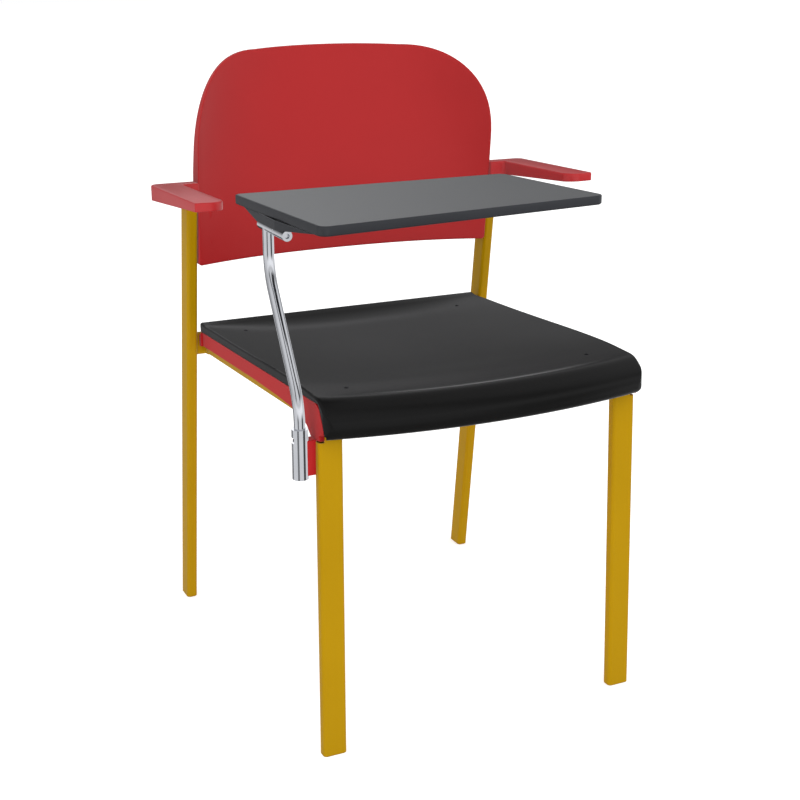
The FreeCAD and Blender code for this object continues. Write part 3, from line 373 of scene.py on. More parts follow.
@dataclass(frozen=True)
class WritingLaminate(Finish):
    """Satin grey laminate with a fine pearl relief."""

    dark: Rgba
    light: Rgba
    roughness: float = 0.3
    pearl_scale: float = 1100.0
    cloud_scale: float = 5.0
    cloud_share: float = 0.5
    pearl_haze: float = 0.1
    cloud_haze: float = 0.06
    relief: float = 0.00003

    def paint(self, recipe: Recipe) -> None:
        """Fill the material's node tree.

        Args:
            recipe: The material's node tree.
        """
        place = recipe.place()
        pearl = recipe.noise(place, self.pearl_scale)
        cloud = recipe.noise(place, self.cloud_scale)
        tint = cloud * self.cloud_share + pearl * (1 - self.cloud_share)
        haze = (pearl - 0.5) * self.pearl_haze
        recipe.surface({
            "Base Color": recipe.mix(self.dark, self.light, tint),
            "Roughness": self.roughness + haze + (cloud - 0.5) * self.cloud_haze,
            "Normal": recipe.bump(pearl, self.relief),
        })


@dataclass(frozen=True)
class ChipCore(Finish):
    """Pressed wood core with flat chips."""

    dark: Rgba
    light: Rgba
    roughness: float = 0.8
    chip_scale: float = 320.0
    chip_share: float = 0.7
    fibre_scale: float = 800.0
    fibre_detail: float = 3.0
    fibre_haze: float = 0.1
    relief: float = 0.0001

    def paint(self, recipe: Recipe) -> None:
        """Fill the material's node tree.

        Args:
            recipe: The material's node tree.
        """
        place = recipe.place()
        sockets = {"Vector": place, "Scale": self.chip_scale}
        chips = recipe.add("ShaderNodeTexVoronoi", {}, sockets, "Color")
        tone = recipe.add("ShaderNodeRGBToBW", {}, {"Color": chips})
        fibre = recipe.noise(place, self.fibre_scale, self.fibre_detail)
        tint = tone * self.chip_share + fibre * (1 - self.chip_share)
        recipe.surface({
            "Base Color": recipe.mix(self.dark, self.light, tint),
            "Roughness": self.roughness + (fibre - 0.5) * self.fibre_haze,
            "Normal": recipe.bump(fibre, self.relief),
        })


RED = MouldedPlastic("moulded_red", "plastic_red", srgb(168, 22, 24), srgb(184, 30, 32),
                     0.42, specular=0.15)
RED_SATIN = MouldedPlastic("moulded_red_satin", "plastic_red", srgb(168, 22, 24),
                           srgb(184, 30, 32), 0.46, specular=0.35)
RED_GLOSS = MouldedPlastic("moulded_red_gloss", "plastic_red", srgb(172, 24, 28),
                           srgb(186, 32, 36), 0.32)
BLACK = MouldedPlastic("moulded_black", "plastic_black", srgb(17, 17, 17), srgb(23, 23, 23),
                       0.3, specular=0.1)
GLIDE = MouldedPlastic("glide_black", "plastic_black", srgb(22, 22, 23), srgb(34, 34, 35), 0.5)
DARK_GREY = MouldedPlastic("moulded_dark_grey", "plastic_dark_grey", srgb(30, 32, 36),
                           srgb(42, 44, 50), 0.45)
YELLOW = PowderCoat("powder_coat_yellow_gloss", "powder_coat_yellow", srgb(166, 127, 1),
                    srgb(179, 139, 3))
CHROME = PlatedSteel("chrome_plate", "chrome", srgb(222, 224, 228), srgb(205, 208, 212), 0.07)
ZINC = PlatedSteel("zinc_plate", "zinc", srgb(190, 192, 194), srgb(150, 152, 155), 0.3)
BLACK_STEEL = PlatedSteel("blackened_steel", "zinc", srgb(40, 40, 42), srgb(24, 24, 25), 0.35)
LAMINATE = WritingLaminate("writing_laminate", "laminate_grey", srgb(84, 86, 88),
                           srgb(94, 96, 98))
CORE = ChipCore("chip_core", "board_core", srgb(150, 118, 82), srgb(196, 164, 122))


@dataclass(frozen=True)
class Outline:
    """Closed flat outline, counter-clockwise, with rounded corners given as x, y and radius."""

    corners: tuple[Triple, ...]
    steps: int = 8

    def points(self, inset: float = 0.0) -> list[Pair]:
        """Points round the outline.

        Args:
            inset: How far the outline is drawn in.

        Returns:
            The points; their number doesn't depend on the inset.
        """
        found = []
        count = len(self.corners)
        for index, (x, y, radius) in enumerate(self.corners):
            before = Vector((x, y)) - Vector(self.corners[index - 1][:2])
            after = Vector(self.corners[(index + 1) % count][:2]) - Vector((x, y))
            before.normalize()
            after.normalize()
            left_before = Vector((-before.y, before.x))
            left_after = Vector((-after.y, after.x))
            turn = math.atan2(before.x * after.y - before.y * after.x, before.dot(after))
            bend = math.copysign(1.0, turn)
            shift = inset / (1.0 + left_before.dot(left_after))
            corner = Vector((x, y)) + (left_before + left_after) * shift
            arc = max(radius - inset * bend, 0.0)
            start = corner - before * (arc * math.tan(abs(turn) / 2.0))
            centre = start + left_before * (arc * bend)
            for step in range(self.steps + 1):
                angle = turn * step / self.steps
                spoke = -left_before * (arc * bend)
                cosine, sine = math.cos(angle), math.sin(angle)
                found.append((centre.x + spoke.x * cosine - spoke.y * sine,
                              centre.y + spoke.x * sine + spoke.y * cosine))
        return found


def smooth_line(knots: Sequence[Pair], shares: Sequence[float]) -> list[Pair]:
    """Read points from a natural cubic spline through knots.

    Args:
        knots: The points that the line passes through.
        shares: Where to read the line, as shares of its length along the knots.

    Returns:
        One point for each share.
    """
    points = np.array(knots, float)
    chord = np.concatenate([[0.0], np.cumsum(np.hypot(*np.diff(points, axis=0).T))])
    gap = np.diff(chord)
    count = len(points)
    system = np.eye(count)
    turns = np.zeros((count, 2))
    for index in range(1, count - 1):
        before, after = gap[index - 1], gap[index]
        system[index, index - 1:index + 2] = before, 2 * (before + after), after
        rise = np.diff(points[index - 1:index + 2], axis=0) / gap[index - 1:index + 1, None]
        turns[index] = 3 * (rise[1] - rise[0])
    second = np.linalg.solve(system, turns)
    found = []
    for share in shares:
        at = min(max(share, 0.0), 1.0) * chord[-1]
        index = min(int(np.searchsorted(chord, at, side="right")) - 1, count - 2)
        along, width = at - chord[index], gap[index]
        start, bend, following = points[index], second[index], second[index + 1]
        slope = (points[index + 1] - start) / width - width * (2 * bend + following) / 3
        cubic = (following - bend) / (3 * width)
        spot = start + along * (slope + along * (bend + along * cubic))
        found.append((float(spot[0]), float(spot[1])))
    return found


def bevel_levels(reach: float) -> list[Pair]:
    """Insets and heights of a quarter round from the face to the full outline."""
    angles = [math.pi / 2 * step / ROUND_STEPS for step in range(ROUND_STEPS + 1)]
    return [(reach * (1 - math.sin(angle)), reach * (1 - math.cos(angle))) for angle in angles]


def spokes_round(axis: Vector, count: int) -> list[Vector]:
    """Make unit spokes that stand round an axis.

    Args:
        axis: Direction of the axis, one unit long.
        count: Number of the spokes.

    Returns:
        The spokes in order.
    """
    side = axis.orthogonal().normalized()
    over = axis.cross(side)
    turns = [math.tau * step / count for step in range(count)]
    return [side * math.cos(turn) + over * math.sin(turn) for turn in turns]


def show(piece: bpy.types.Object) -> None:
    """Put an object into the scene."""
    bpy.context.scene.collection.objects.link(piece)


class Skin:
    """Points and faces of one piece, in millimetres."""

    def __init__(self) -> None:
        """Start without points."""
        self.points: list[Vector] = []
        self.faces: list[tuple[int, ...]] = []

    def ring(self, points: Iterable[Vector]) -> list[int]:
        """Add points.

        Args:
            points: The points, in millimetres.

        Returns:
            Their numbers.
        """
        start = len(self.points)
        self.points.extend(points)
        return list(range(start, len(self.points)))

    def bridge(self, first: Sequence[int], second: Sequence[int]) -> None:
        """Join two rings with four-sided faces.

        Args:
            first: Numbers of the first ring's points.
            second: Numbers of the second ring's points, equally many.
        """
        count = len(first)
        for index in range(count):
            following = (index + 1) % count
            self.faces.append((first[index], first[following], second[following], second[index]))

    def loft(self, sections: Sequence[Sequence[Vector]], capped: bool = True) -> None:
        """Skin closed sections of equally many points.

        Args:
            sections: The sections in order.
            capped: Close the first and the last section.
        """
        rings = [self.ring(section) for section in sections]
        for first, second in zip(rings, rings[1:]):
            self.bridge(first, second)
        if capped:
            self.faces.append(tuple(reversed(rings[0])))
            self.faces.append(tuple(rings[-1]))

    def slab(self, outline: Outline, low: Callable[[float, float], float],
             high: Callable[[float, float], float], low_round: float, high_round: float) -> None:
        """Add a plate with rounded edges.

        Args:
            outline: The plan of the plate.
            low: Height of its underside over a plan point.
            high: Height of its top over a plan point.
            low_round: Radius of the lower edge.
            high_round: Radius of the upper edge.
        """
        sections = [[Vector((x, y, low(x, y) + lift)) for x, y in outline.points(inset)]
                    for inset, lift in bevel_levels(low_round)]
        sections += [[Vector((x, y, high(x, y) - drop)) for x, y in outline.points(inset)]
                     for inset, drop in reversed(bevel_levels(high_round))]
        self.loft(sections)

    def turned(self, base: Vector, axis: Vector, profile: Sequence[Pair], count: int = 40) -> None:
        """Add a turned shape.

        Args:
            base: Where the axis starts.
            axis: Direction of the axis.
            profile: Radius and distance along the axis, from the first end to the last.
            count: Points round the axis.
        """
        along = axis.normalized()
        spokes = spokes_round(along, count)
        self.loft([[base + along * reach + spoke * radius for spoke in spokes]
                   for radius, reach in profile])

    def place(self, name: str, finish: Finish, body: Body, replaces: Sequence[str] = (),
              crease: float = 40.0, mirrored: bool = True) -> None:
        """Make the piece and hand it to its body.

        Args:
            name: Name of the piece.
            finish: What it is made of.
            body: The body that it rides on.
            replaces: Solids that it stands for.
            crease: Edges that turn by more than this many degrees are sharp.
            mirrored: Shiny pieces show it.
        """
        mesh = bpy.data.meshes.new(name)
        mesh.from_pydata([point * METRES for point in self.points], [], self.faces)
        work = bmesh.new()
        work.from_mesh(mesh)
        bmesh.ops.remove_doubles(work, verts=work.verts, dist=MERGE_REACH)
        bmesh.ops.recalc_face_normals(work, faces=work.faces)
        work.to_mesh(mesh)
        work.free()
        mesh.shade_smooth()
        mesh.set_sharp_from_angle(angle=math.radians(crease))
        mesh.materials.append(finish.material())
        piece = bpy.data.objects.new(name, mesh)
        show(piece)
        piece.visible_glossy = mirrored
        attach(piece, body.value)
        if replaces:
            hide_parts(*replaces)
        log.info("%s: %d points on %s", name, len(mesh.vertices), body.value)


def soften_solid(node: str, width: float, crease: float = 30.0) -> None:
    """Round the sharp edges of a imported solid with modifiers.

    Args:
        node: Name of the solid.
        width: Width of the bevel in millimetres.
        crease: Edges that turn by more than this many degrees are rounded.
    """
    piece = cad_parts[node]
    weld = piece.modifiers.new("join_faces", "WELD")
    weld.merge_threshold = WELD_REACH
    plain = piece.modifiers.new("plain_faces", "DECIMATE")
    plain.decimate_type = "DISSOLVE"
    plain.angle_limit = math.radians(FLAT_DEGREES)
    bevel = piece.modifiers.new("edge_round", "BEVEL")
    bevel.width = width * METRES
    bevel.segments = BEVEL_SEGMENTS
    bevel.limit_method = "ANGLE"
    bevel.angle_limit = math.radians(crease)
    bevel.harden_normals = False
    even = piece.modifiers.new("even_shading", "WEIGHTED_NORMAL")
    even.keep_sharp = True


def dress(node: str, finish: Finish, mirrored: bool = True) -> None:
    """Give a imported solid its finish.

    Args:
        node: Name of the solid.
        finish: What it is made of.
        mirrored: Shiny pieces show it.
    """
    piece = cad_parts[node]
    piece.data.materials.clear()
    piece.data.materials.append(finish.material())
    piece.visible_glossy = mirrored
    log.info("%s: packed solid in %s", node, finish.name)


@dataclass(frozen=True)
class Screw:
    """A screw or bolt head with its drive."""

    seat: Vector
    outward: Vector
    radius: float
    height: float
    recess: Recess
    points: int = 24
    hexagon_share: float = 0.5
    arm_share: float = 0.58
    gap_share: float = 0.2
    dome: tuple[Pair, ...] = ((0.96, 0.0), (1.0, 0.12), (1.0, 0.55), (0.93, 0.8), (0.78, 0.95),
                              (0.66, 1.0))
    drive: tuple[Pair, ...] = ((1.0, 1.0), (0.86, 0.45))

    def reach(self, step: int) -> float:
        """Radius of the drive's outline at one of the head's points.

        Args:
            step: Number of the point round the head.

        Returns:
            The radius in millimetres.
        """
        if self.recess is Recess.HEXAGON:
            half = math.pi / 6
            turn = math.tau * step / self.points % (2 * half) - half
            return self.radius * self.hexagon_share * math.cos(half) / math.cos(turn)
        quarter = self.points // 4
        near_arm = step % quarter in (0, 1, quarter - 1)
        return self.radius * (self.arm_share if near_arm else self.gap_share)

    def add_to(self, skin: Skin) -> None:
        """Add the head to a piece.

        Args:
            skin: The piece that takes the head.
        """
        along = self.outward.normalized()
        spokes = spokes_round(along, self.points)
        sections = [[self.seat + along * (self.height * lift) + spoke * (self.radius * share)
                     for spoke in spokes] for share, lift in self.dome]
        sections += [[self.seat + along * (self.height * lift) + spoke * (self.reach(step) * share)
                      for step, spoke in enumerate(spokes)] for share, lift in self.drive]
        skin.loft(sections)


def place_screws(name: str, finish: Finish, body: Body, node: str, screws: Iterable[Screw]) -> None:
    """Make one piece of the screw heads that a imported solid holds.

    Args:
        name: Name of the piece.
        finish: What the screws are made of.
        body: The body that they ride on.
        node: The solid that they stand for.
        screws: The screws.
    """
    heads = Skin()
    for screw in screws:
        screw.add_to(heads)
    heads.place(name, finish, body, (node,))


@dataclass(frozen=True)
class Post:
    """Centre line of a rear leg and back post, on the side of +X."""

    foot: Pair = (226.6, 263.7)
    lean: Pair = (-2.4, -87.6)
    lean_height: float = 640.0
    top: float = 620.0
    across: float = 15.0
    deep: float = 30.0

    def point(self, height: float) -> Vector:
        """Find a point of the centre line.

        Args:
            height: Height of the point.

        Returns:
            The point.
        """
        share = height / self.lean_height
        plan = [foot + lean * share for foot, lean in zip(self.foot, self.lean)]
        return Vector((*plan, height))

    def along(self) -> Vector:
        """Direction of the post, upwards."""
        return (self.point(self.top) - self.point(0.0)).normalized()

    def behind(self) -> Vector:
        """Direction square to the post, to the rear."""
        return self.along().cross(ACROSS).normalized()


def on_side(point: Vector, side: Side) -> Vector:
    """Point of the +X side, carried over to a side."""
    return Vector((point.x * side.value, point.y, point.z))


@dataclass(frozen=True)
class WeldBead:
    """Bead laid round a flat tube where it meets another."""

    centre: Vector
    first: Vector
    second: Vector
    across: float
    deep: float
    corner: float = 4.5
    corner_steps: int = 5
    size: float = 1.5
    ripple: float = 3.2
    low_share: float = 0.86
    wave_share: float = 0.16
    spacing: float = 1.1
    sides: int = 8

    def add_to(self, skin: Skin) -> None:
        """Add the bead with its ripples to a piece.

        Args:
            skin: The piece that takes the bead.
        """
        half_a, half_b = self.across / 2, self.deep / 2
        outline = Outline(((half_a, -half_b, self.corner), (half_a, half_b, self.corner),
                           (-half_a, half_b, self.corner), (-half_a, -half_b, self.corner)),
                          self.corner_steps)
        corners = [self.centre + self.first * a + self.second * b for a, b in outline.points()]
        path = []
        for index, start in enumerate(corners):
            end = corners[(index + 1) % len(corners)]
            steps = max(1, round((end - start).length / self.spacing))
            path += [start.lerp(end, step / steps) for step in range(steps)]
        axis = self.first.cross(self.second).normalized()
        turns = [math.tau * step / self.sides for step in range(self.sides)]
        rings = []
        run = 0.0
        for index, point in enumerate(path):
            following = path[(index + 1) % len(path)]
            out = (following - path[index - 1]).normalized().cross(axis)
            wave = abs(math.sin(math.pi * run / self.ripple))
            size = self.size * (self.low_share + self.wave_share * wave)
            run += (following - point).length
            rings.append(skin.ring([point + out * (size * math.cos(turn))
                                    + axis * (size * math.sin(turn)) for turn in turns]))
        for index, ring in enumerate(rings):
            skin.bridge(ring, rings[(index + 1) % len(rings)])


@dataclass
class SteelFrame:
    """Legs, rails and brackets of flat tube, with their welds and foot glides."""

    side_tubes: tuple[str, ...] = ("front_leg", "rear_leg", "side_rail", "back_bracket")
    rails: tuple[str, ...] = ("front_cross_rail", "seat_cross_rail", "rear_cross_rail")
    rail_height: float = 30.0
    rail_width: float = 15.0
    rail_drop: float = 12.97
    rail_face: float = 204.5
    cross_drop: float = 20.9
    cross_places: Pair = (-193.4, 154.7)
    rear_rail: float = 209.01
    bead_crease: float = 80.0

    def build(self) -> None:
        """Dress the tubes and lay the welds."""
        for side in Side:
            name = side.name.lower()
            for tube in self.side_tubes:
                dress(f"{tube}_{name}", YELLOW, mirrored=False)
            for end in ("front", "rear"):
                dress(f"foot_glide_{end}_{name}", GLIDE)
        for name in self.rails:
            dress(name, YELLOW, mirrored=False)
        self.welds()

    def welds(self) -> None:
        """Lay the beads of the cross rails, the rear rail and the rails' rear ends."""
        beads = Skin()
        plane = SeatPlane()
        tilt, back = plane.direction(UP), plane.direction(DEPTH)
        half = self.rail_width / 2
        for side in Side:
            for y in self.cross_places:
                end = plane.lift(side.value * (self.rail_face - self.rail_width), y,
                                 -self.cross_drop - half)
                WeldBead(end, back, tilt, self.rail_height, self.rail_width).add_to(beads)
            end = plane.lift(side.value * (self.rail_face - half), self.rear_rail - half,
                             -self.rail_drop - self.rail_height / 2)
            WeldBead(end, ACROSS, tilt, self.rail_width, self.rail_height).add_to(beads)
            post = on_side(Post().point(self.rear_height()), side) - ACROSS * (side.value * half)
            WeldBead(post, back, tilt, self.rail_width, self.rail_height).add_to(beads)
        beads.place("weld_beads", YELLOW, Body.CHAIR, crease=self.bead_crease, mirrored=False)

    def rear_height(self) -> float:
        """Height of the rear rail's centre line."""
        return SeatPlane().lift(0.0, self.rear_rail, -self.rail_drop - self.rail_height / 2).z


@dataclass(frozen=True)
class SeatPlane:
    """Raked plane that the seat is drawn on."""

    edge_height: float = 439.65
    rake_degrees: float = 2.885

    def direction(self, way: Vector) -> Vector:
        """Turn a direction on the plane into the chair.

        Args:
            way: The direction as it is on the level plane.

        Returns:
            The raked direction.
        """
        turn = math.radians(self.rake_degrees)
        return Vector((way.x, way.y * math.cos(turn) + way.z * math.sin(turn),
                       way.z * math.cos(turn) - way.y * math.sin(turn)))

    def lift(self, x: float, y: float, z: float) -> Vector:
        """Point on the plane, placed into the chair."""
        return self.direction(Vector((x, y, z))) + UP * self.edge_height


@dataclass
class Seat:
    """Moulded seat on its under-pan."""

    half_width: float = 210.5
    front: float = -277.8
    bow_radius: float = 778.0
    dish_depth: float = 12.0
    dish_power: float = 2.5
    thickness: float = 5.0
    lip_height: float = 11.0
    lip_width: float = 3.0
    end_wall: float = 6.0
    corner: float = 14.0
    edge_round: float = 2.4
    rim_round: float = 1.4
    nose_depth: float = 20.8
    nose_drop: float = 52.8
    foot_run: float = 13.0
    foot_share: float = 0.034
    # depth, rise, share of the dish and share of the bow at each knot of the top
    top_knots: tuple[tuple[float, float, float, float], ...] = (
        (202.0, 2.0, 0.0, 0.0), (188.0, 0.0, 0.35, 0.0), (168.0, 0.0, 0.82, 0.0),
        (128.0, 0.0, 1.0, 0.0), (-30.0, 0.0, 1.0, 0.0), (-140.0, 0.0, 0.85, 0.0),
        (-195.0, -1.5, 0.6, 0.5), (-241.0, -3.9, 0.35, 1.0))
    # shares of the nose's depth behind its foremost point and of its drop
    nose_knots: tuple[Pair, ...] = ((1.05, 0.124), (0.62, 0.23), (0.15, 0.41), (0.0, 0.597),
                                    (0.115, 0.786), (0.44, 0.917), (1.0, 1.0))
    skirt_line: tuple[Pair, ...] = ((-226.98, -11.0), (-234.98, -28.5), (-240.48, -41.0))
    corner_clear: float = 1.5
    wall_growth: float = 4.0
    wall_chamfer: float = 0.7
    rim_step: float = 0.2
    rim_share: float = 0.3
    round_degrees: tuple[float, ...] = (25.0, 50.0, 70.0, 90.0)
    wall_shares: tuple[float, ...] = (0.06, 0.15, 0.28, 0.45, 0.65, 0.85)
    screws: tuple[Pair, ...] = ((161.6, -193.4), (161.6, 154.7))
    screw_radius: float = 3.0
    screw_height: float = 0.95
    screw_sink: float = 0.4
    pan_round: float = 0.7
    crease: float = 44.0
    flat_share: float = 0.83
    inner_columns: int = 19
    outer_columns: int = 4
    flat_rows: int = 34
    nose_rows: int = 34
    search_steps: int = 30
    line_steps: int = 600
    plane: SeatPlane = field(default_factory=SeatPlane)

    def build(self) -> None:
        """Make the seat and dress its pan."""
        self.shell()
        dress("seat_pan", RED, mirrored=False)
        soften_solid("seat_pan", self.pan_round)
        place_screws("seat_screw_heads", BLACK_STEEL, Body.CHAIR, "seat_screws", self.screw_heads())

    def bow(self, x: float) -> float:
        """How far the front edge lies behind its foremost point."""
        return self.bow_radius - math.sqrt(self.bow_radius ** 2 - x ** 2)

    def knots(self, x: float) -> list[Pair]:
        """Find the knots of the seat's upper line.

        Args:
            x: Place across the seat.

        Returns:
            Depth and height of each knot, from the rear to the nose's foot.
        """
        out = min(abs(x), self.half_width) / self.half_width
        deep = self.dish_depth * (1 - out ** self.dish_power)
        back = self.bow(x)
        line = [(y + back * bowed, rise - deep * dished)
                for y, rise, dished, bowed in self.top_knots]
        return line + [(self.front + back + behind * self.nose_depth, -drop * self.nose_drop)
                       for behind, drop in self.nose_knots]

    def shares(self, x: float) -> list[float]:
        """Find the shares of the upper line that the mesh has rows at.

        Args:
            x: Place across the seat.

        Returns:
            The shares, which end at the nose's foot, raised towards the sides.
        """
        flat = [self.flat_share * step / self.flat_rows for step in range(self.flat_rows)]
        out = max(0.0, (abs(x) - self.half_width + self.foot_run) / self.foot_run)
        end = 1.0 - self.foot_share * min(out, 1.0) ** 2
        return flat + [self.flat_share + (end - self.flat_share) * step / self.nose_rows
                       for step in range(self.nose_rows + 1)]

    def inner_reach(self) -> float:
        """Half width of the columns that the rounded corners leave alone."""
        return self.half_width - self.corner + self.corner_clear

    def columns(self) -> list[float]:
        """Set out the mesh columns.

        Returns:
            Their places from one side to the other.
        """
        inner = self.inner_reach()
        gaps = self.inner_columns - 1
        middle = [-inner + 2 * inner * step / gaps for step in range(self.inner_columns)]
        band = self.half_width - inner - self.edge_round
        outer = [inner + band * (step + 1) / self.outer_columns
                 for step in range(self.outer_columns)]
        return [-x for x in reversed(outer)] + middle + outer

    def corner_centre(self) -> Pair:
        """Find the centre of the rounded front corner.

        Returns:
            Its place in plan on the side of +X.
        """
        x = self.half_width - self.corner
        reach = math.sqrt((self.bow_radius - self.corner) ** 2 - x ** 2)
        return x, self.front + self.bow_radius - reach

    def half_at(self, y: float) -> float:
        """Find the half width of the plan, with its rounded front corners.

        Args:
            y: Depth on the seat's plane.

        Returns:
            Half of the width there.
        """
        x, start = self.corner_centre()
        short = min(max(start - y, 0.0), self.corner)
        return x + math.sqrt(self.corner ** 2 - short ** 2)

    def edge_reach(self, behind: float) -> float:
        """Find the half width of the nose's skin at a distance behind its foremost line.

        Args:
            behind: The distance.

        Returns:
            Half of the width there.
        """
        centre_x, centre_y = self.corner_centre()
        low, high = centre_x * self.bow_radius / (self.bow_radius - self.corner), self.half_width
        for _ in range(self.search_steps):
            middle = (low + high) / 2
            corner_y = centre_y - math.sqrt(self.corner ** 2 - (middle - centre_x) ** 2)
            if corner_y - self.front - self.bow(middle) < behind:
                low = middle
            else:
                high = middle
        return high

    def wall_foot(self, edge: Pair, share: float) -> Pair:
        """Find the foot of the side wall under or behind a point of the side edge.

        Args:
            edge: Depth and height of the edge's point.
            share: Share of the nose that lies before the point.

        Returns:
            Depth and height of the wall's foot.
        """
        if edge[0] > self.skirt_line[0][0]:
            return edge[0], -self.lip_height
        return smooth_line(self.skirt_line, [share])[0]

    def shell(self) -> None:
        """Make the black moulded seat: dished top, rolled nose, side walls and rear rim."""
        columns = self.columns()
        lines = {x: smooth_line(self.knots(x), self.shares(x)) for x in columns + [self.half_width]}
        edge = lines[self.half_width]
        count = len(edge)
        nose_y = self.skirt_line[0][0]
        first_nose = next(index for index, point in enumerate(edge) if point[0] <= nose_y)
        low_rim = self.rim_share * self.rim_round
        rows = [(0, 0.0, self.rim_round, True), (0, low_rim, low_rim, True),
                (0, self.rim_round, 0.0, True), (0, self.lip_width, 0.0, True),
                (0, self.lip_width + self.rim_step, 0.0, False)]
        rows += [(index, 0.0, 0.0, False) for index in range(1, count)]
        skin = Skin()
        rings = []
        for index, lead, sink, rim in rows:
            share = max(0.0, (index - first_nose) / (count - 1 - first_nose))
            rings.append(skin.ring(self.shell_ring(columns, lines, index, lead, sink, rim, share)))
        for first, second in zip(rings, rings[1:]):
            skin.bridge(first, second)
        for ring, flip in ((rings[0], True), (rings[-1], False)):
            self.close_end(skin, ring, len(columns), flip)
        skin.place("moulded_seat", BLACK, Body.CHAIR, ("seat_shell",), self.crease, mirrored=False)

    def shell_ring(self, columns: Sequence[float], lines: dict[float, list[Pair]], index: int,
                   lead: float, sink: float, rim: bool, share: float) -> list[Vector]:
        """Points once round the seat at one row.

        Args:
            columns: Places of the columns.
            lines: Upper lines by column.
            index: Row number on the lines.
            lead: How far the row lies before the line's point, at the rear rim.
            sink: How far the row lies under the line's point, at the rear rim.
            rim: The row belongs to the rear rim, which reaches down as far as the side lips.
            share: Share of the nose that lies before the row at the side.

        Returns:
            The ring: top, right side, underside, left side.
        """
        def at(line: list[Pair]) -> tuple[float, float, float, float]:
            """Find the row's place on a line.

            Args:
                line: The upper line of one column.

            Returns:
                Depth and height of the place, and the way square to the line, downwards.
            """
            before, after = line[max(index - 1, 0)], line[min(index + 1, len(line) - 1)]
            run = math.hypot(after[0] - before[0], after[1] - before[1])
            return (line[index][0] - lead, line[index][1] - sink,
                    -(after[1] - before[1]) / run, (after[0] - before[0]) / run)

        y, z, inward_y, inward_z = at(lines[self.half_width])
        behind = y - self.front - self.bow(self.half_width)
        half = self.edge_reach(behind)
        if share > 0:
            y = self.front + self.bow(half) + behind
        inner = self.inner_reach()
        room = (half - inner) / (self.half_width - inner)
        wall = self.lip_width
        wall += (self.end_wall - self.lip_width) * min(share * self.wall_growth, 1.0)
        foot = (y, -self.lip_height) if rim else self.wall_foot((y, z), share)
        side = []
        for turn in (math.radians(degrees) for degrees in self.round_degrees):
            deep = self.edge_round * (1 - math.cos(turn))
            depth = y + inward_y * deep
            narrower = self.edge_round * room * (1 - math.sin(turn))
            side.append((max(self.half_at(depth), half) - narrower, depth, z + inward_z * deep))
        start_y, start_z = side[-1][1:]
        for way in self.wall_shares:
            depth = start_y + (foot[0] - start_y) * way
            side.append((self.half_at(depth), depth, start_z + (foot[1] - start_z) * way))
        foot_half = self.half_at(foot[0])
        side += [(foot_half - inset, *foot) for inset in (self.wall_chamfer, wall)]
        tops, unders = [], []
        for x in columns:
            top_y, top_z, way_y, way_z = at(lines[x])
            across = x
            if abs(x) > inner:
                across = math.copysign(inner + (abs(x) - inner) * room, x)
            if share > 0:
                top_y += self.bow(across) - self.bow(x)
            tops.append((across, top_y, top_z))
            narrow = across * (half - wall) / (half - self.edge_round * room)
            under = (top_y + way_y * self.thickness, top_z + way_z * self.thickness)
            unders.append((narrow, *((top_y, -self.lip_height) if rim else under)))
        left = [(-x, depth, height) for x, depth, height in reversed(side)]
        return [self.plane.lift(*point) for point in tops + side + unders[::-1] + left]

    @staticmethod
    def close_end(skin: Skin, ring: Sequence[int], count: int, flip: bool) -> None:
        """Close the ring at the seat's rear or at the nose's foot.

        Args:
            skin: The piece.
            ring: The ring's points.
            count: Number of columns.
            flip: Turn the faces round.
        """
        side = (len(ring) - 2 * count) // 2
        under = [ring[2 * count + side - 1 - index] for index in range(count)]
        faces = [(ring[index], ring[index + 1], under[index + 1], under[index])
                 for index in range(count - 1)]
        faces.append(tuple(ring[count - 1:count + side + 1]))
        faces.append(tuple(ring[2 * count + side - 1:]) + (ring[0],))
        skin.faces += [tuple(reversed(face)) if flip else face for face in faces]

    def top_at(self, x: float, y: float) -> Vector:
        """Find a point of the seat's upper surface.

        Args:
            x: Place across the seat.
            y: Depth on the seat's plane.

        Returns:
            The point, placed into the chair.
        """
        shares = [step / self.line_steps for step in range(self.line_steps + 1)]
        nearest = min(smooth_line(self.knots(x), shares), key=lambda point: abs(point[0] - y))
        return self.plane.lift(x, *nearest)

    def screw_heads(self) -> list[Screw]:
        """Set out the four flush screws.

        Returns:
            The screws.
        """
        outward = self.plane.direction(UP)
        return [Screw(self.top_at(x * side.value, y) - UP * self.screw_sink, outward,
                      self.screw_radius, self.screw_height, Recess.CROSS)
                for side in Side for x, y in self.screws]


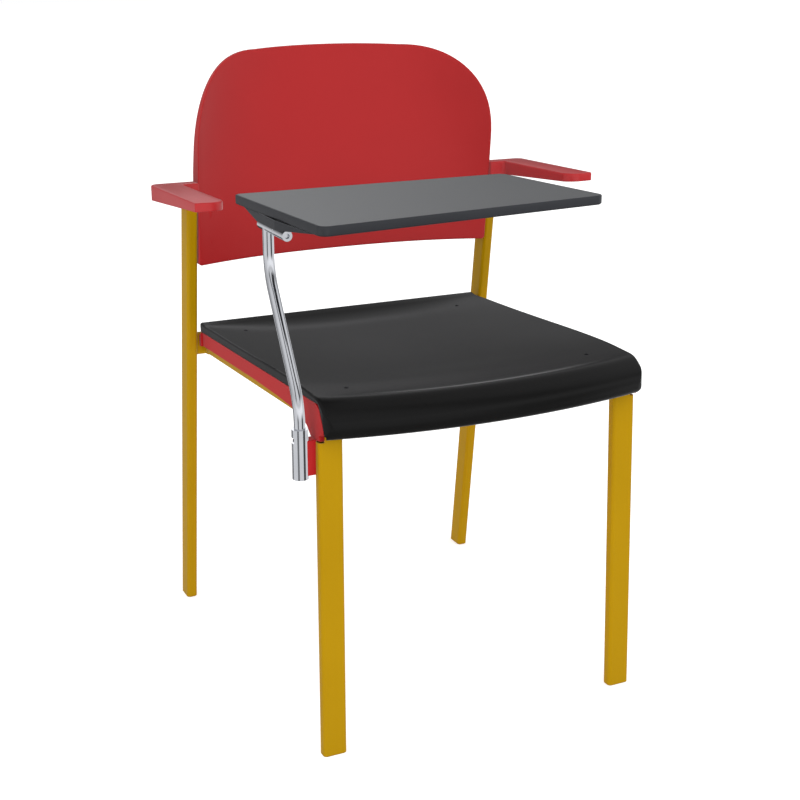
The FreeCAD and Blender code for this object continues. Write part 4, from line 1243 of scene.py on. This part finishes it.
@dataclass
class Back:
    """Back shell with its rim, bosses and screws."""

    half_width: float = 216.375
    bottom: float = 516.0
    height: float = 278.6
    arch: float = 3.0
    crown: float = 2.8
    corner_x: float = 110.0
    corner_z: float = 130.0
    corner_power: float = 2.4
    low_corner: float = 5.0
    edge_start: float = 174.6375
    edge_lean: float = -28.5
    middle_start: float = 195.9375
    middle_lean: float = 58.5
    middle_return: float = 9.7
    curve_power: float = 2.8
    thickness: float = 5.0
    rim_depth: float = 24.0
    rim_depth_top: float = 6.0
    rim_start: float = 640.0
    rim_width: float = 4.5
    edge_round: float = 1.8
    boss_radius: float = 6.0
    boss_chamfer: float = 0.6
    boss_gap: float = 0.3
    boss_points: int = 32
    # growth of the boss's radius and place before its foot
    boss_foot: tuple[Pair, ...] = ((0.3, 4.0), (1.2, 2.6), (3.0, 1.6), (3.0, 0.0))
    screw_inset: float = 12.0
    screw_heights: Pair = (546.0, 586.0)
    screw_radius: float = 4.5
    screw_height: float = 3.0
    bracket_behind: float = 11.5
    bracket_thickness: float = 3.0
    rim_chamfer: float = 0.8
    rim_share: float = 0.3
    crease: float = 46.0
    face_rings: tuple[float, ...] = (0.12, 0.25, 0.38, 0.5, 0.61, 0.71, 0.8, 0.87, 0.93, 0.97)
    low_points: int = 27
    corner_degrees: tuple[float, ...] = (22.5, 45.0, 67.5, 90.0)
    side_steps: int = 14
    corner_steps: int = 24
    crown_steps: int = 8
    post: Post = field(default_factory=Post)

    def build(self) -> None:
        """Make the shell and its screws."""
        skin = Skin()
        self.panel(skin)
        self.bosses(skin)
        skin.place("back_panel", RED_SATIN, Body.CHAIR, ("back_shell",), self.crease,
                   mirrored=False)
        place_screws("back_screw_heads", ZINC, Body.CHAIR, "back_screws",
                     [Screw(on_side(self.screw_seat(height), side), self.post.behind(),
                            self.screw_radius, self.screw_height, Recess.CROSS)
                      for side in Side for height in self.screw_heights])

    def surface(self, x: float, z: float) -> float:
        """Find the depth of the front face.

        Args:
            x: Place across the shell.
            z: Height on it.

        Returns:
            The depth of the face there.
        """
        share = (z - self.bottom) / self.height
        edge = self.edge_start + self.edge_lean * share
        middle = self.middle_start + self.middle_lean * share - self.middle_return * share ** 2
        return middle + (edge - middle) * min(abs(x) / self.half_width, 1.0) ** self.curve_power

    def rim(self, z: float) -> float:
        """Depth of the rim at a height, which gets shallower above ``rim_start``."""
        share = max((z - self.rim_start) / (self.bottom + self.height - self.rim_start), 0.0)
        return self.rim_depth + (self.rim_depth_top - self.rim_depth) * min(share, 1.0)

    def outline(self) -> list[Pair]:
        """Find the outline of the shell, seen from the front.

        Returns:
            Its points, counter-clockwise from the lower left.
        """
        side_top = self.bottom + self.height - self.crown - self.corner_z
        inner = self.half_width - self.corner_x
        low = self.low_corner
        straight = self.half_width - low
        points = []
        for step in range(self.low_points):
            x = -straight + 2 * straight * step / (self.low_points - 1)
            points.append((x, self.bottom + self.arch * (1 - (x / self.half_width) ** 2)))
        right = [(straight + low * math.sin(turn), self.bottom + low - low * math.cos(turn))
                 for turn in (math.radians(degrees) for degrees in self.corner_degrees)]
        rise = side_top - self.bottom - low
        right += [(self.half_width, self.bottom + low + rise * (step + 1) / self.side_steps)
                  for step in range(self.side_steps)]
        power = 2 / self.corner_power
        for step in range(self.corner_steps):
            turn = math.pi / 2 * (step + 1) / self.corner_steps
            right.append((inner + self.corner_x * max(math.cos(turn), 0.0) ** power,
                          side_top + self.corner_z * math.sin(turn) ** power))
        for share in (1 - (step + 1) / self.crown_steps for step in range(self.crown_steps)):
            right.append((inner * share, self.bottom + self.height - self.crown * share ** 2))
        return points + right + [(-x, z) for x, z in reversed(right[:-1])]

    @staticmethod
    def inset(outline: Sequence[Pair], distance: float) -> list[Pair]:
        """Draw an outline in.

        Args:
            outline: The outline's points.
            distance: How far it is drawn in.

        Returns:
            As many points, each moved square to its neighbours.
        """
        found = []
        for index, (x, z) in enumerate(outline):
            x_a, z_a = outline[index - 1]
            x_b, z_b = outline[(index + 1) % len(outline)]
            run = math.hypot(x_b - x_a, z_b - z_a)
            found.append((x - (z_b - z_a) / run * distance, z + (x_b - x_a) / run * distance))
        return found

    def panel(self, skin: Skin) -> None:
        """Add the curved panel with its rounded rim.

        Args:
            skin: The piece that takes the panel.
        """
        outline = self.outline()
        middle = self.bottom + self.height * 0.5
        small, plate, rim_in = self.rim_chamfer, self.thickness, self.rim_width
        low_rim = small * self.rim_share

        def deep(index: int) -> float:
            """Depth of the shell at one of the outline's points."""
            return plate if index < self.low_points else self.rim(outline[index][1])

        def ring(inset: float, behind: Callable[[int], float], share: float = 1.0) -> list[int]:
            """Ring on the drawn-in outline.

            Args:
                inset: How far the outline is drawn in.
                behind: Distance behind the front face by the point's number.
                share: Share of the outline's size.

            Returns:
                The numbers of the ring's points.
            """
            points = []
            for index, (x, z) in enumerate(self.inset(outline, inset)):
                x, z = x * share, middle + (z - middle) * share
                points.append(Vector((x, self.surface(x, z) + behind(index), z)))
            return skin.ring(points)

        rings = [ring(self.edge_round, lambda index: 0.0, share) for share in self.face_rings]
        rings += [ring(inset, lambda index, drop=drop: drop)
                  for inset, drop in bevel_levels(self.edge_round)]
        rings += [ring(0.0, lambda index: deep(index) - small),
                  ring(low_rim, lambda index: deep(index) - low_rim),
                  ring(small, deep), ring(rim_in - small, deep),
                  ring(rim_in, lambda index: max(deep(index) - small, plate)),
                  ring(rim_in, lambda index: plate + small),
                  ring(rim_in + small, lambda index: plate)]
        rings += [ring(rim_in + small, lambda index: plate, share)
                  for share in reversed(self.face_rings)]
        for first, second in zip(rings, rings[1:]):
            skin.bridge(first, second)
        for edge, behind, flip in ((rings[0], 0.0, True), (rings[-1], plate, False)):
            hub = skin.ring([Vector((0.0, self.surface(0.0, middle) + behind, middle))])[0]
            for index in range(len(edge)):
                face = (edge[index], edge[(index + 1) % len(edge)], hub)
                skin.faces.append(tuple(reversed(face)) if flip else face)

    def screw_seat(self, height: float) -> Vector:
        """Find the seat of a screw head behind the bracket.

        Args:
            height: Height of the screw on the post.

        Returns:
            The seat on the side of +X.
        """
        behind = self.post.behind() * (self.bracket_behind + self.bracket_thickness)
        seat = self.post.point(height) + behind
        return Vector((self.half_width - self.screw_inset, seat.y, seat.z))

    def bosses(self, skin: Skin) -> None:
        """Add the four bosses with their small foot rounds.

        Args:
            skin: The piece that takes the bosses.
        """
        inward = -self.post.behind()
        for height in self.screw_heights:
            start = self.screw_seat(height) + inward * (self.bracket_thickness + self.boss_gap)
            reach = start.y - self.surface(start.x, start.z) - self.thickness / 2
            profile = [(self.boss_radius - self.boss_chamfer, 0.0),
                       (self.boss_radius, self.boss_chamfer)]
            profile += [(self.boss_radius + growth, reach - before)
                        for growth, before in self.boss_foot]
            for side in Side:
                skin.turned(on_side(start, side), inward, profile, self.boss_points)


@dataclass
class Arms:
    """Two short wedge-shaped arms on the posts."""

    corners: tuple[Triple, ...] = (
        (277.075, 183.64, 12.0), (275.875, -12.86, 3.5), (237.675, -17.86, 18.0),
        (238.475, 159.54, 4.0), (216.675, 159.54, 1.2), (216.675, 183.64, 1.2))
    corner_steps: int = 10
    front: float = -17.8625
    rear: float = 183.6375
    top_front: float = 635.9
    top_rear: float = 629.0
    low_front: float = 625.2
    low_rear: float = 608.4
    top_round: float = 2.0
    low_round: float = 1.0
    heel_low: float = 606.0
    heel_wall: float = 2.5
    heel_front: float = 165.0
    heel_inner: float = 216.675
    heel_low_round: float = 0.6
    heel_top_round: float = 1.2
    # radii of the heel's corners, from its inner rear one round to its outer rear one
    heel_corners: Triple = (1.5, 0.5, 3.0)
    heel_steps: int = 5
    screw_drop: float = 24.0
    screw_radius: float = 4.0
    screw_height: float = 2.2
    crease: float = 50.0
    post: Post = field(default_factory=Post)

    def build(self) -> None:
        """Make both arms and their screws."""
        for side in Side:
            skin = Skin()
            self.wedge(skin, side)
            self.heel(skin, side)
            name = side.name.lower()
            skin.place(f"arm_pad_{name}", RED_GLOSS, Body.CHAIR, (f"arm_{name}",), self.crease,
                       mirrored=False)
        seat = self.post.point(self.post.top) - self.post.along() * self.screw_drop
        seat += self.post.behind() * (self.post.deep / 2)
        place_screws("arm_screw_heads", ZINC, Body.CHAIR, "arm_screws",
                     [Screw(on_side(seat, side), self.post.behind(), self.screw_radius,
                            self.screw_height, Recess.CROSS) for side in Side])

    def wedge(self, skin: Skin, side: Side) -> None:
        """Add the wedge with its rounded edges.

        Args:
            skin: The piece that takes the wedge.
            side: The side of the chair.
        """
        corners = [(x * side.value, y, radius) for x, y, radius in self.corners]
        if side is Side.LEFT:
            corners.reverse()

        def height(front: float, rear: float) -> Callable[[float, float], float]:
            """Height that runs evenly from the arm's front to its rear."""
            slope = (rear - front) / (self.rear - self.front)
            return lambda x, y: front + slope * (y - self.front)

        skin.slab(Outline(tuple(corners), self.corner_steps),
                  height(self.low_front, self.low_rear), height(self.top_front, self.top_rear),
                  self.low_round, self.top_round)

    def heel(self, skin: Skin, side: Side) -> None:
        """Add the heel that closes the post's rear side.

        Args:
            skin: The piece that takes the heel.
            side: The side of the chair.
        """
        point = self.post.point(self.post.top)
        reach = point + self.post.behind() * (self.post.deep / 2 + self.heel_wall)
        outer = point.x + self.post.across / 2 + self.heel_wall
        inner_rear, front, outer_rear = self.heel_corners
        corners = [(outer * side.value, reach.y, outer_rear),
                   (self.heel_inner * side.value, reach.y, inner_rear),
                   (self.heel_inner * side.value, self.heel_front, front),
                   (outer * side.value, self.heel_front, front)]
        if side is Side.RIGHT:
            corners.reverse()
        skin.slab(Outline(tuple(corners), self.heel_steps), lambda x, y: self.heel_low,
                  lambda x, y: reach.z + self.heel_wall, self.heel_low_round, self.heel_top_round)


@dataclass
class TabletSupport:
    """Socket, bent tube and hinge of the tablet."""

    chromed: tuple[str, ...] = ("tablet_socket", "socket_plug", "support_tube", "index_pin",
                                "hinge_barrel", "tablet_bracket")
    rounds: tuple[tuple[str, float], ...] = (("tablet_socket", 0.6), ("hinge_barrel", 0.5),
                                             ("tablet_bracket", 0.5))
    hinge: Pair = (-220.4, 620.5)
    pin_rear: float = -86.38
    knuckle_front: float = -170.58
    pin_head: float = 2.0
    pin_dome: tuple[Pair, ...] = ((0.6, 0.0), (2.4, 0.12), (3.6, 0.5), (4.4, 1.2), (4.5, 1.9),
                                  (2.8, 2.0))
    # radius of the pin's far end and its place before that end
    pin_end: tuple[Pair, ...] = ((2.8, 0.8), (2.2, 0.1), (0.4, 0.0))
    swivel: Pair = (-227.4, -212.98)
    socket_radius: float = 9.5
    spacer_half: float = 7.5
    spacer_low: float = 354.5
    spacer_high: float = 396.5
    spacer_round: float = 0.8
    spacer_steps: int = 16
    leg_foot: float = 201.3
    leg_lean: float = 5.0
    leg_lean_height: float = 385.0
    leg_half: float = 15.0
    bolt_heights: Pair = (364.0, 387.0)
    bolt_radius: float = 4.5
    bolt_height: float = 3.0

    def build(self) -> None:
        """Dress the support and make its pin and bolt heads."""
        for node in self.chromed:
            dress(node, CHROME)
        for node, width in self.rounds:
            soften_solid(node, width)
        dress("hinge_bushes", GLIDE)
        self.spacer()
        self.pin()
        faces = [Vector((self.leg_centre(height) + self.leg_half, self.swivel[1], height))
                 for height in self.bolt_heights]
        place_screws("socket_bolt_heads", ZINC, Body.CHAIR, "socket_bolts",
                     [Screw(face, ACROSS, self.bolt_radius, self.bolt_height, Recess.HEXAGON)
                      for face in faces])

    def leg_centre(self, height: float) -> float:
        """Centre line of the front leg beside the socket, as its x."""
        return -self.leg_foot + self.leg_lean * height / self.leg_lean_height

    def spacer(self) -> None:
        """Make the red block between leg and socket, hollowed to the socket's round."""
        x, y = self.swivel
        rounds = bevel_levels(self.spacer_round)
        levels = [(inset, self.spacer_low + lift) for inset, lift in rounds]
        levels += [(inset, self.spacer_high - drop) for inset, drop in reversed(rounds)]
        sections = []
        for inset, z in levels:
            half = self.spacer_half - inset
            spread = math.asin(half / self.socket_radius)
            face = self.leg_centre(z) - self.leg_half
            turns = [spread * (1 - 2 * step / self.spacer_steps)
                     for step in range(self.spacer_steps + 1)]
            section = [Vector((face, y - half, z)), Vector((face, y + half, z))]
            section += [Vector((x + self.socket_radius * math.cos(turn),
                                y + self.socket_radius * math.sin(turn), z)) for turn in turns]
            sections.append(section)
        skin = Skin()
        skin.loft(sections)
        skin.place("spacer_block", RED, Body.CHAIR, ("socket_spacer",), mirrored=False)

    def pin(self) -> None:
        """Make the hinge pin with its domed head."""
        length = self.pin_rear - self.knuckle_front
        x, z = self.hinge
        end = tuple((radius, length - before) for radius, before in self.pin_end)
        skin = Skin()
        skin.turned(Vector((x, self.pin_rear + self.pin_head, z)), -DEPTH, self.pin_dome + end)
        skin.place("hinge_axle", CHROME, Body.TABLET, ("hinge_pin",))


@dataclass
class Tablet:
    """Writing tablet with its laminate, edge and housing."""

    corners: tuple[Triple, ...] = (
        (-240.6, -48.48, 8.0), (-224.0, -278.98, 11.0), (150.1, -238.98, 11.0),
        (118.6, -48.48, 11.0))
    corner_steps: int = 10
    top: float = 650.0
    thickness: float = 11.0
    band: float = 2.2
    laminate: float = 0.8
    laminate_gap: float = 0.08
    laminate_chamfer: float = 0.12
    low_bevel: float = 1.3
    top_round: float = 1.5
    small: float = 0.1
    low_ease: float = 0.3
    side_ease: float = 0.4
    housing_round: float = 0.8
    round_degrees: tuple[float, ...] = (22.5, 45.0, 67.5, 90.0)
    screws: tuple[Pair, ...] = ((-161.4, -107.98), (-161.4, -183.98), (-203.4, -107.98),
                                (-203.4, -183.98))
    screw_radius: float = 4.0
    screw_height: float = 2.0
    plate_under: float = 636.5

    def build(self) -> None:
        """Make the writing surface and its edge, and dress what is under it."""
        outline = Outline(self.corners, self.corner_steps)
        self.edge(outline)
        self.surface(outline)
        dress("tablet_board", CORE, mirrored=False)
        dress("tablet_housing", DARK_GREY)
        soften_solid("tablet_housing", self.housing_round)
        place_screws("tablet_screw_heads", ZINC, Body.TABLET, "tablet_screws",
                     [Screw(Vector((x, y, self.plate_under)), -UP, self.screw_radius,
                            self.screw_height, Recess.CROSS) for x, y in self.screws])

    def edge(self, outline: Outline) -> None:
        """Make the dark edge band with its rounded top and bevelled foot.

        Args:
            outline: The board's outline.
        """
        under = self.top - self.thickness
        high = self.top - self.top_round
        section = [(self.band, under), (self.low_bevel + self.low_ease, under),
                   (self.low_bevel, under + self.small), (self.small, under + self.low_bevel),
                   (0.0, under + self.low_bevel + self.side_ease), (0.0, high)]
        section += [(self.top_round * (1 - math.cos(turn)), high + self.top_round * math.sin(turn))
                    for turn in (math.radians(degrees) for degrees in self.round_degrees)]
        section += [(self.band - self.small, self.top), (self.band, self.top - self.small)]
        skin = Skin()
        rings = [skin.ring([Vector((x, y, z)) for x, y in outline.points(inset)])
                 for inset, z in section]
        for index, ring in enumerate(rings):
            skin.bridge(ring, rings[(index + 1) % len(rings)])
        skin.place("edge_band", DARK_GREY, Body.TABLET, ("tablet_edge",), mirrored=False)

    def surface(self, outline: Outline) -> None:
        """Make the laminate, a hair clear of the edge band.

        Args:
            outline: The board's outline.
        """
        inner = self.band + self.laminate_gap
        chamfer = self.laminate_chamfer
        skin = Skin()
        skin.loft([[Vector((x, y, z)) for x, y in outline.points(inset)]
                   for inset, z in ((inner, self.top - self.laminate), (inner, self.top - chamfer),
                                    (inner + chamfer, self.top))])
        skin.place("writing_surface", LAMINATE, Body.TABLET, ("tablet_laminate",), mirrored=False)


@dataclass
class Studio:
    """Pale floor, soft light and the camera."""

    azimuth: float = -25.24
    elevation: float = 18.01
    distance: float = 1.90079
    target: Triple = (0.00001, 0.00507, 0.34826)
    lens: float = 64.2095
    sensor: float = 36.0
    floor_size: float = 40.0
    floor_tone: float = 0.9
    floor_glow: float = 0.5
    key_power: float = 32.0
    key_size: Pair = (2.4, 2.4)
    key_place: Triple = (-0.4, -2.6, 2.6)
    sky: tuple[Pair, ...] = ((0.0, 0.5), (0.45, 0.55), (0.6, 0.7), (1.0, 1.0))
    # place as a share of a turn and brightness of the panels that shiny pieces show
    low_panels: tuple[Pair, ...] = (
        (0.0, 0.78), (0.088, 0.78), (0.1, 0.2), (0.155, 0.2), (0.168, 0.8), (0.31, 0.8),
        (0.33, 0.07), (0.4, 0.07), (0.42, 0.8), (0.67, 0.85), (0.7, 0.05), (0.78, 0.05),
        (0.79, 0.7), (0.835, 0.7), (0.845, 0.04), (0.885, 0.04), (0.895, 0.78), (1.0, 0.78))
    level_panels: tuple[Pair, ...] = (
        (0.0, 0.7), (0.1, 0.95), (0.24, 1.1), (0.42, 1.1), (0.55, 0.3), (0.62, 0.1),
        (0.74, 0.12), (0.8, 0.3), (1.0, 0.6))
    high_panels: tuple[Pair, ...] = (
        (0.0, 0.6), (0.1, 0.65), (0.24, 0.7), (0.4, 0.7), (0.44, 0.2), (0.48, 0.2),
        (0.52, 0.6), (0.62, 0.2), (0.66, 0.1), (0.7, 1.8), (0.74, 1.8), (0.79, 0.7),
        (0.86, 0.5), (1.0, 0.6))
    ground: float = 0.12
    cool: float = 1.02
    # sines of the elevations between which one row of panels turns into the next
    sink_ends: Pair = (-0.75, -0.45)
    rise_ends: Pair = (-0.12, 0.06)
    climb_ends: Pair = (0.2, 0.31)
    steep_ends: Pair = (0.33, 0.45)

    def build(self) -> None:
        """Set up everything round the chair."""
        self.surroundings()
        self.key_light()
        self.floor()
        self.camera()
        view = bpy.context.scene.view_settings
        view.view_transform = "Standard"
        view.look = "None"

    def floor(self) -> None:
        """Lay the pale floor, which mirrors show as open studio."""
        half = self.floor_size / 2
        mesh = bpy.data.meshes.new("studio_floor")
        mesh.from_pydata([(-half, -half, 0), (half, -half, 0), (half, half, 0), (-half, half, 0)],
                         [], [(0, 1, 2, 3)])
        finish = bpy.data.materials.new("studio_floor_white")
        recipe = Recipe(finish)
        tone = self.floor_tone
        recipe.surface({"Base Color": (tone, tone, tone, 1.0), "Roughness": tone,
                        "Specular IOR Level": 0.0, "Emission Color": (1.0, 1.0, 1.0, 1.0),
                        "Emission Strength": self.floor_glow})
        mesh.materials.append(finish)
        floor = bpy.data.objects.new("studio_floor", mesh)
        floor.visible_glossy = False
        show(floor)

    def surroundings(self) -> None:
        """Light the scene from soft panels all round, seen as plain white."""
        world = bpy.data.worlds.new("studio")
        bpy.context.scene.world = world
        recipe = Recipe(world)
        x, y, z = recipe.split(recipe.add("ShaderNodeTexCoord", {}, {}, "Generated"))
        angle = recipe.add("ShaderNodeMath", {"operation": "ARCTAN2"}, {0: y, 1: x})
        turn = angle * (1 / math.tau) + 0.5
        low, level, high = (recipe.ramp(turn, self.tones(panels, self.cool)) for panels in
                            (self.low_panels, self.level_panels, self.high_panels))
        above = recipe.mix(high, low, recipe.climb(z, self.steep_ends))
        ground = (self.ground, self.ground, self.ground, 1.0)
        below = recipe.mix(ground, low, recipe.climb(z, self.sink_ends))
        upper = recipe.mix(level, above, recipe.climb(z, self.climb_ends))
        panels = recipe.mix(below, upper, recipe.climb(z, self.rise_ends))
        sky = recipe.ramp(recipe.climb(z, (-1.0, 1.0)), self.tones(self.sky, 1.0))
        camera = recipe.add("ShaderNodeLightPath", {}, {}, "Is Camera Ray")
        glossy = Value(recipe, camera.socket.node.outputs["Is Glossy Ray"])
        seen = recipe.mix(recipe.mix(sky, panels, glossy), (1.0, 1.0, 1.0, 1.0), camera)
        light = recipe.add("ShaderNodeBackground", {}, {"Color": seen, "Strength": 1.0})
        recipe.add("ShaderNodeOutputWorld", {}, {"Surface": light})

    @staticmethod
    def tones(steps: Sequence[Pair], cool: float) -> list[tuple[float, Rgba]]:
        """Stops of a ramp of greys, with their blue raised by a factor."""
        return [(place, (tone, tone, tone * cool, 1.0)) for place, tone in steps]

    def key_light(self) -> None:
        """Hang the large soft light in front and above."""
        data = bpy.data.lights.new("key_panel", "AREA")
        data.energy = self.key_power
        data.shape = "RECTANGLE"
        data.size, data.size_y = self.key_size
        lamp = bpy.data.objects.new("key_panel", data)
        lamp.location = self.key_place
        lamp.rotation_mode = "QUATERNION"
        way = Vector(self.target) - Vector(self.key_place)
        lamp.rotation_quaternion = way.to_track_quat("-Z", "Y")
        lamp.visible_glossy = False
        show(lamp)

    def camera(self) -> None:
        """Stand the camera where the photograph was taken from."""
        data = bpy.data.cameras.new("camera")
        data.lens = self.lens
        data.sensor_width = self.sensor
        camera = bpy.data.objects.new("camera", data)
        turn, rise = math.radians(self.azimuth), math.radians(self.elevation)
        level = math.cos(rise)
        back = Vector((math.sin(turn) * level, -math.cos(turn) * level, math.sin(rise)))
        camera.location = Vector(self.target) + back * self.distance
        camera.rotation_mode = "QUATERNION"
        camera.rotation_quaternion = (-back).to_track_quat("-Z", "Y")
        show(camera)
        bpy.context.scene.camera = camera


def main() -> None:
    """Build the chair and its surroundings in order."""
    logging.basicConfig(level=logging.INFO, format="%(name)s: %(message)s")
    for assembly in (SteelFrame(), Seat(), Back(), Arms(), TabletSupport(), Tablet(), Studio()):
        log.info("building %s", type(assembly).__name__)
        assembly.build()


if __name__ == "__main__":
    main()
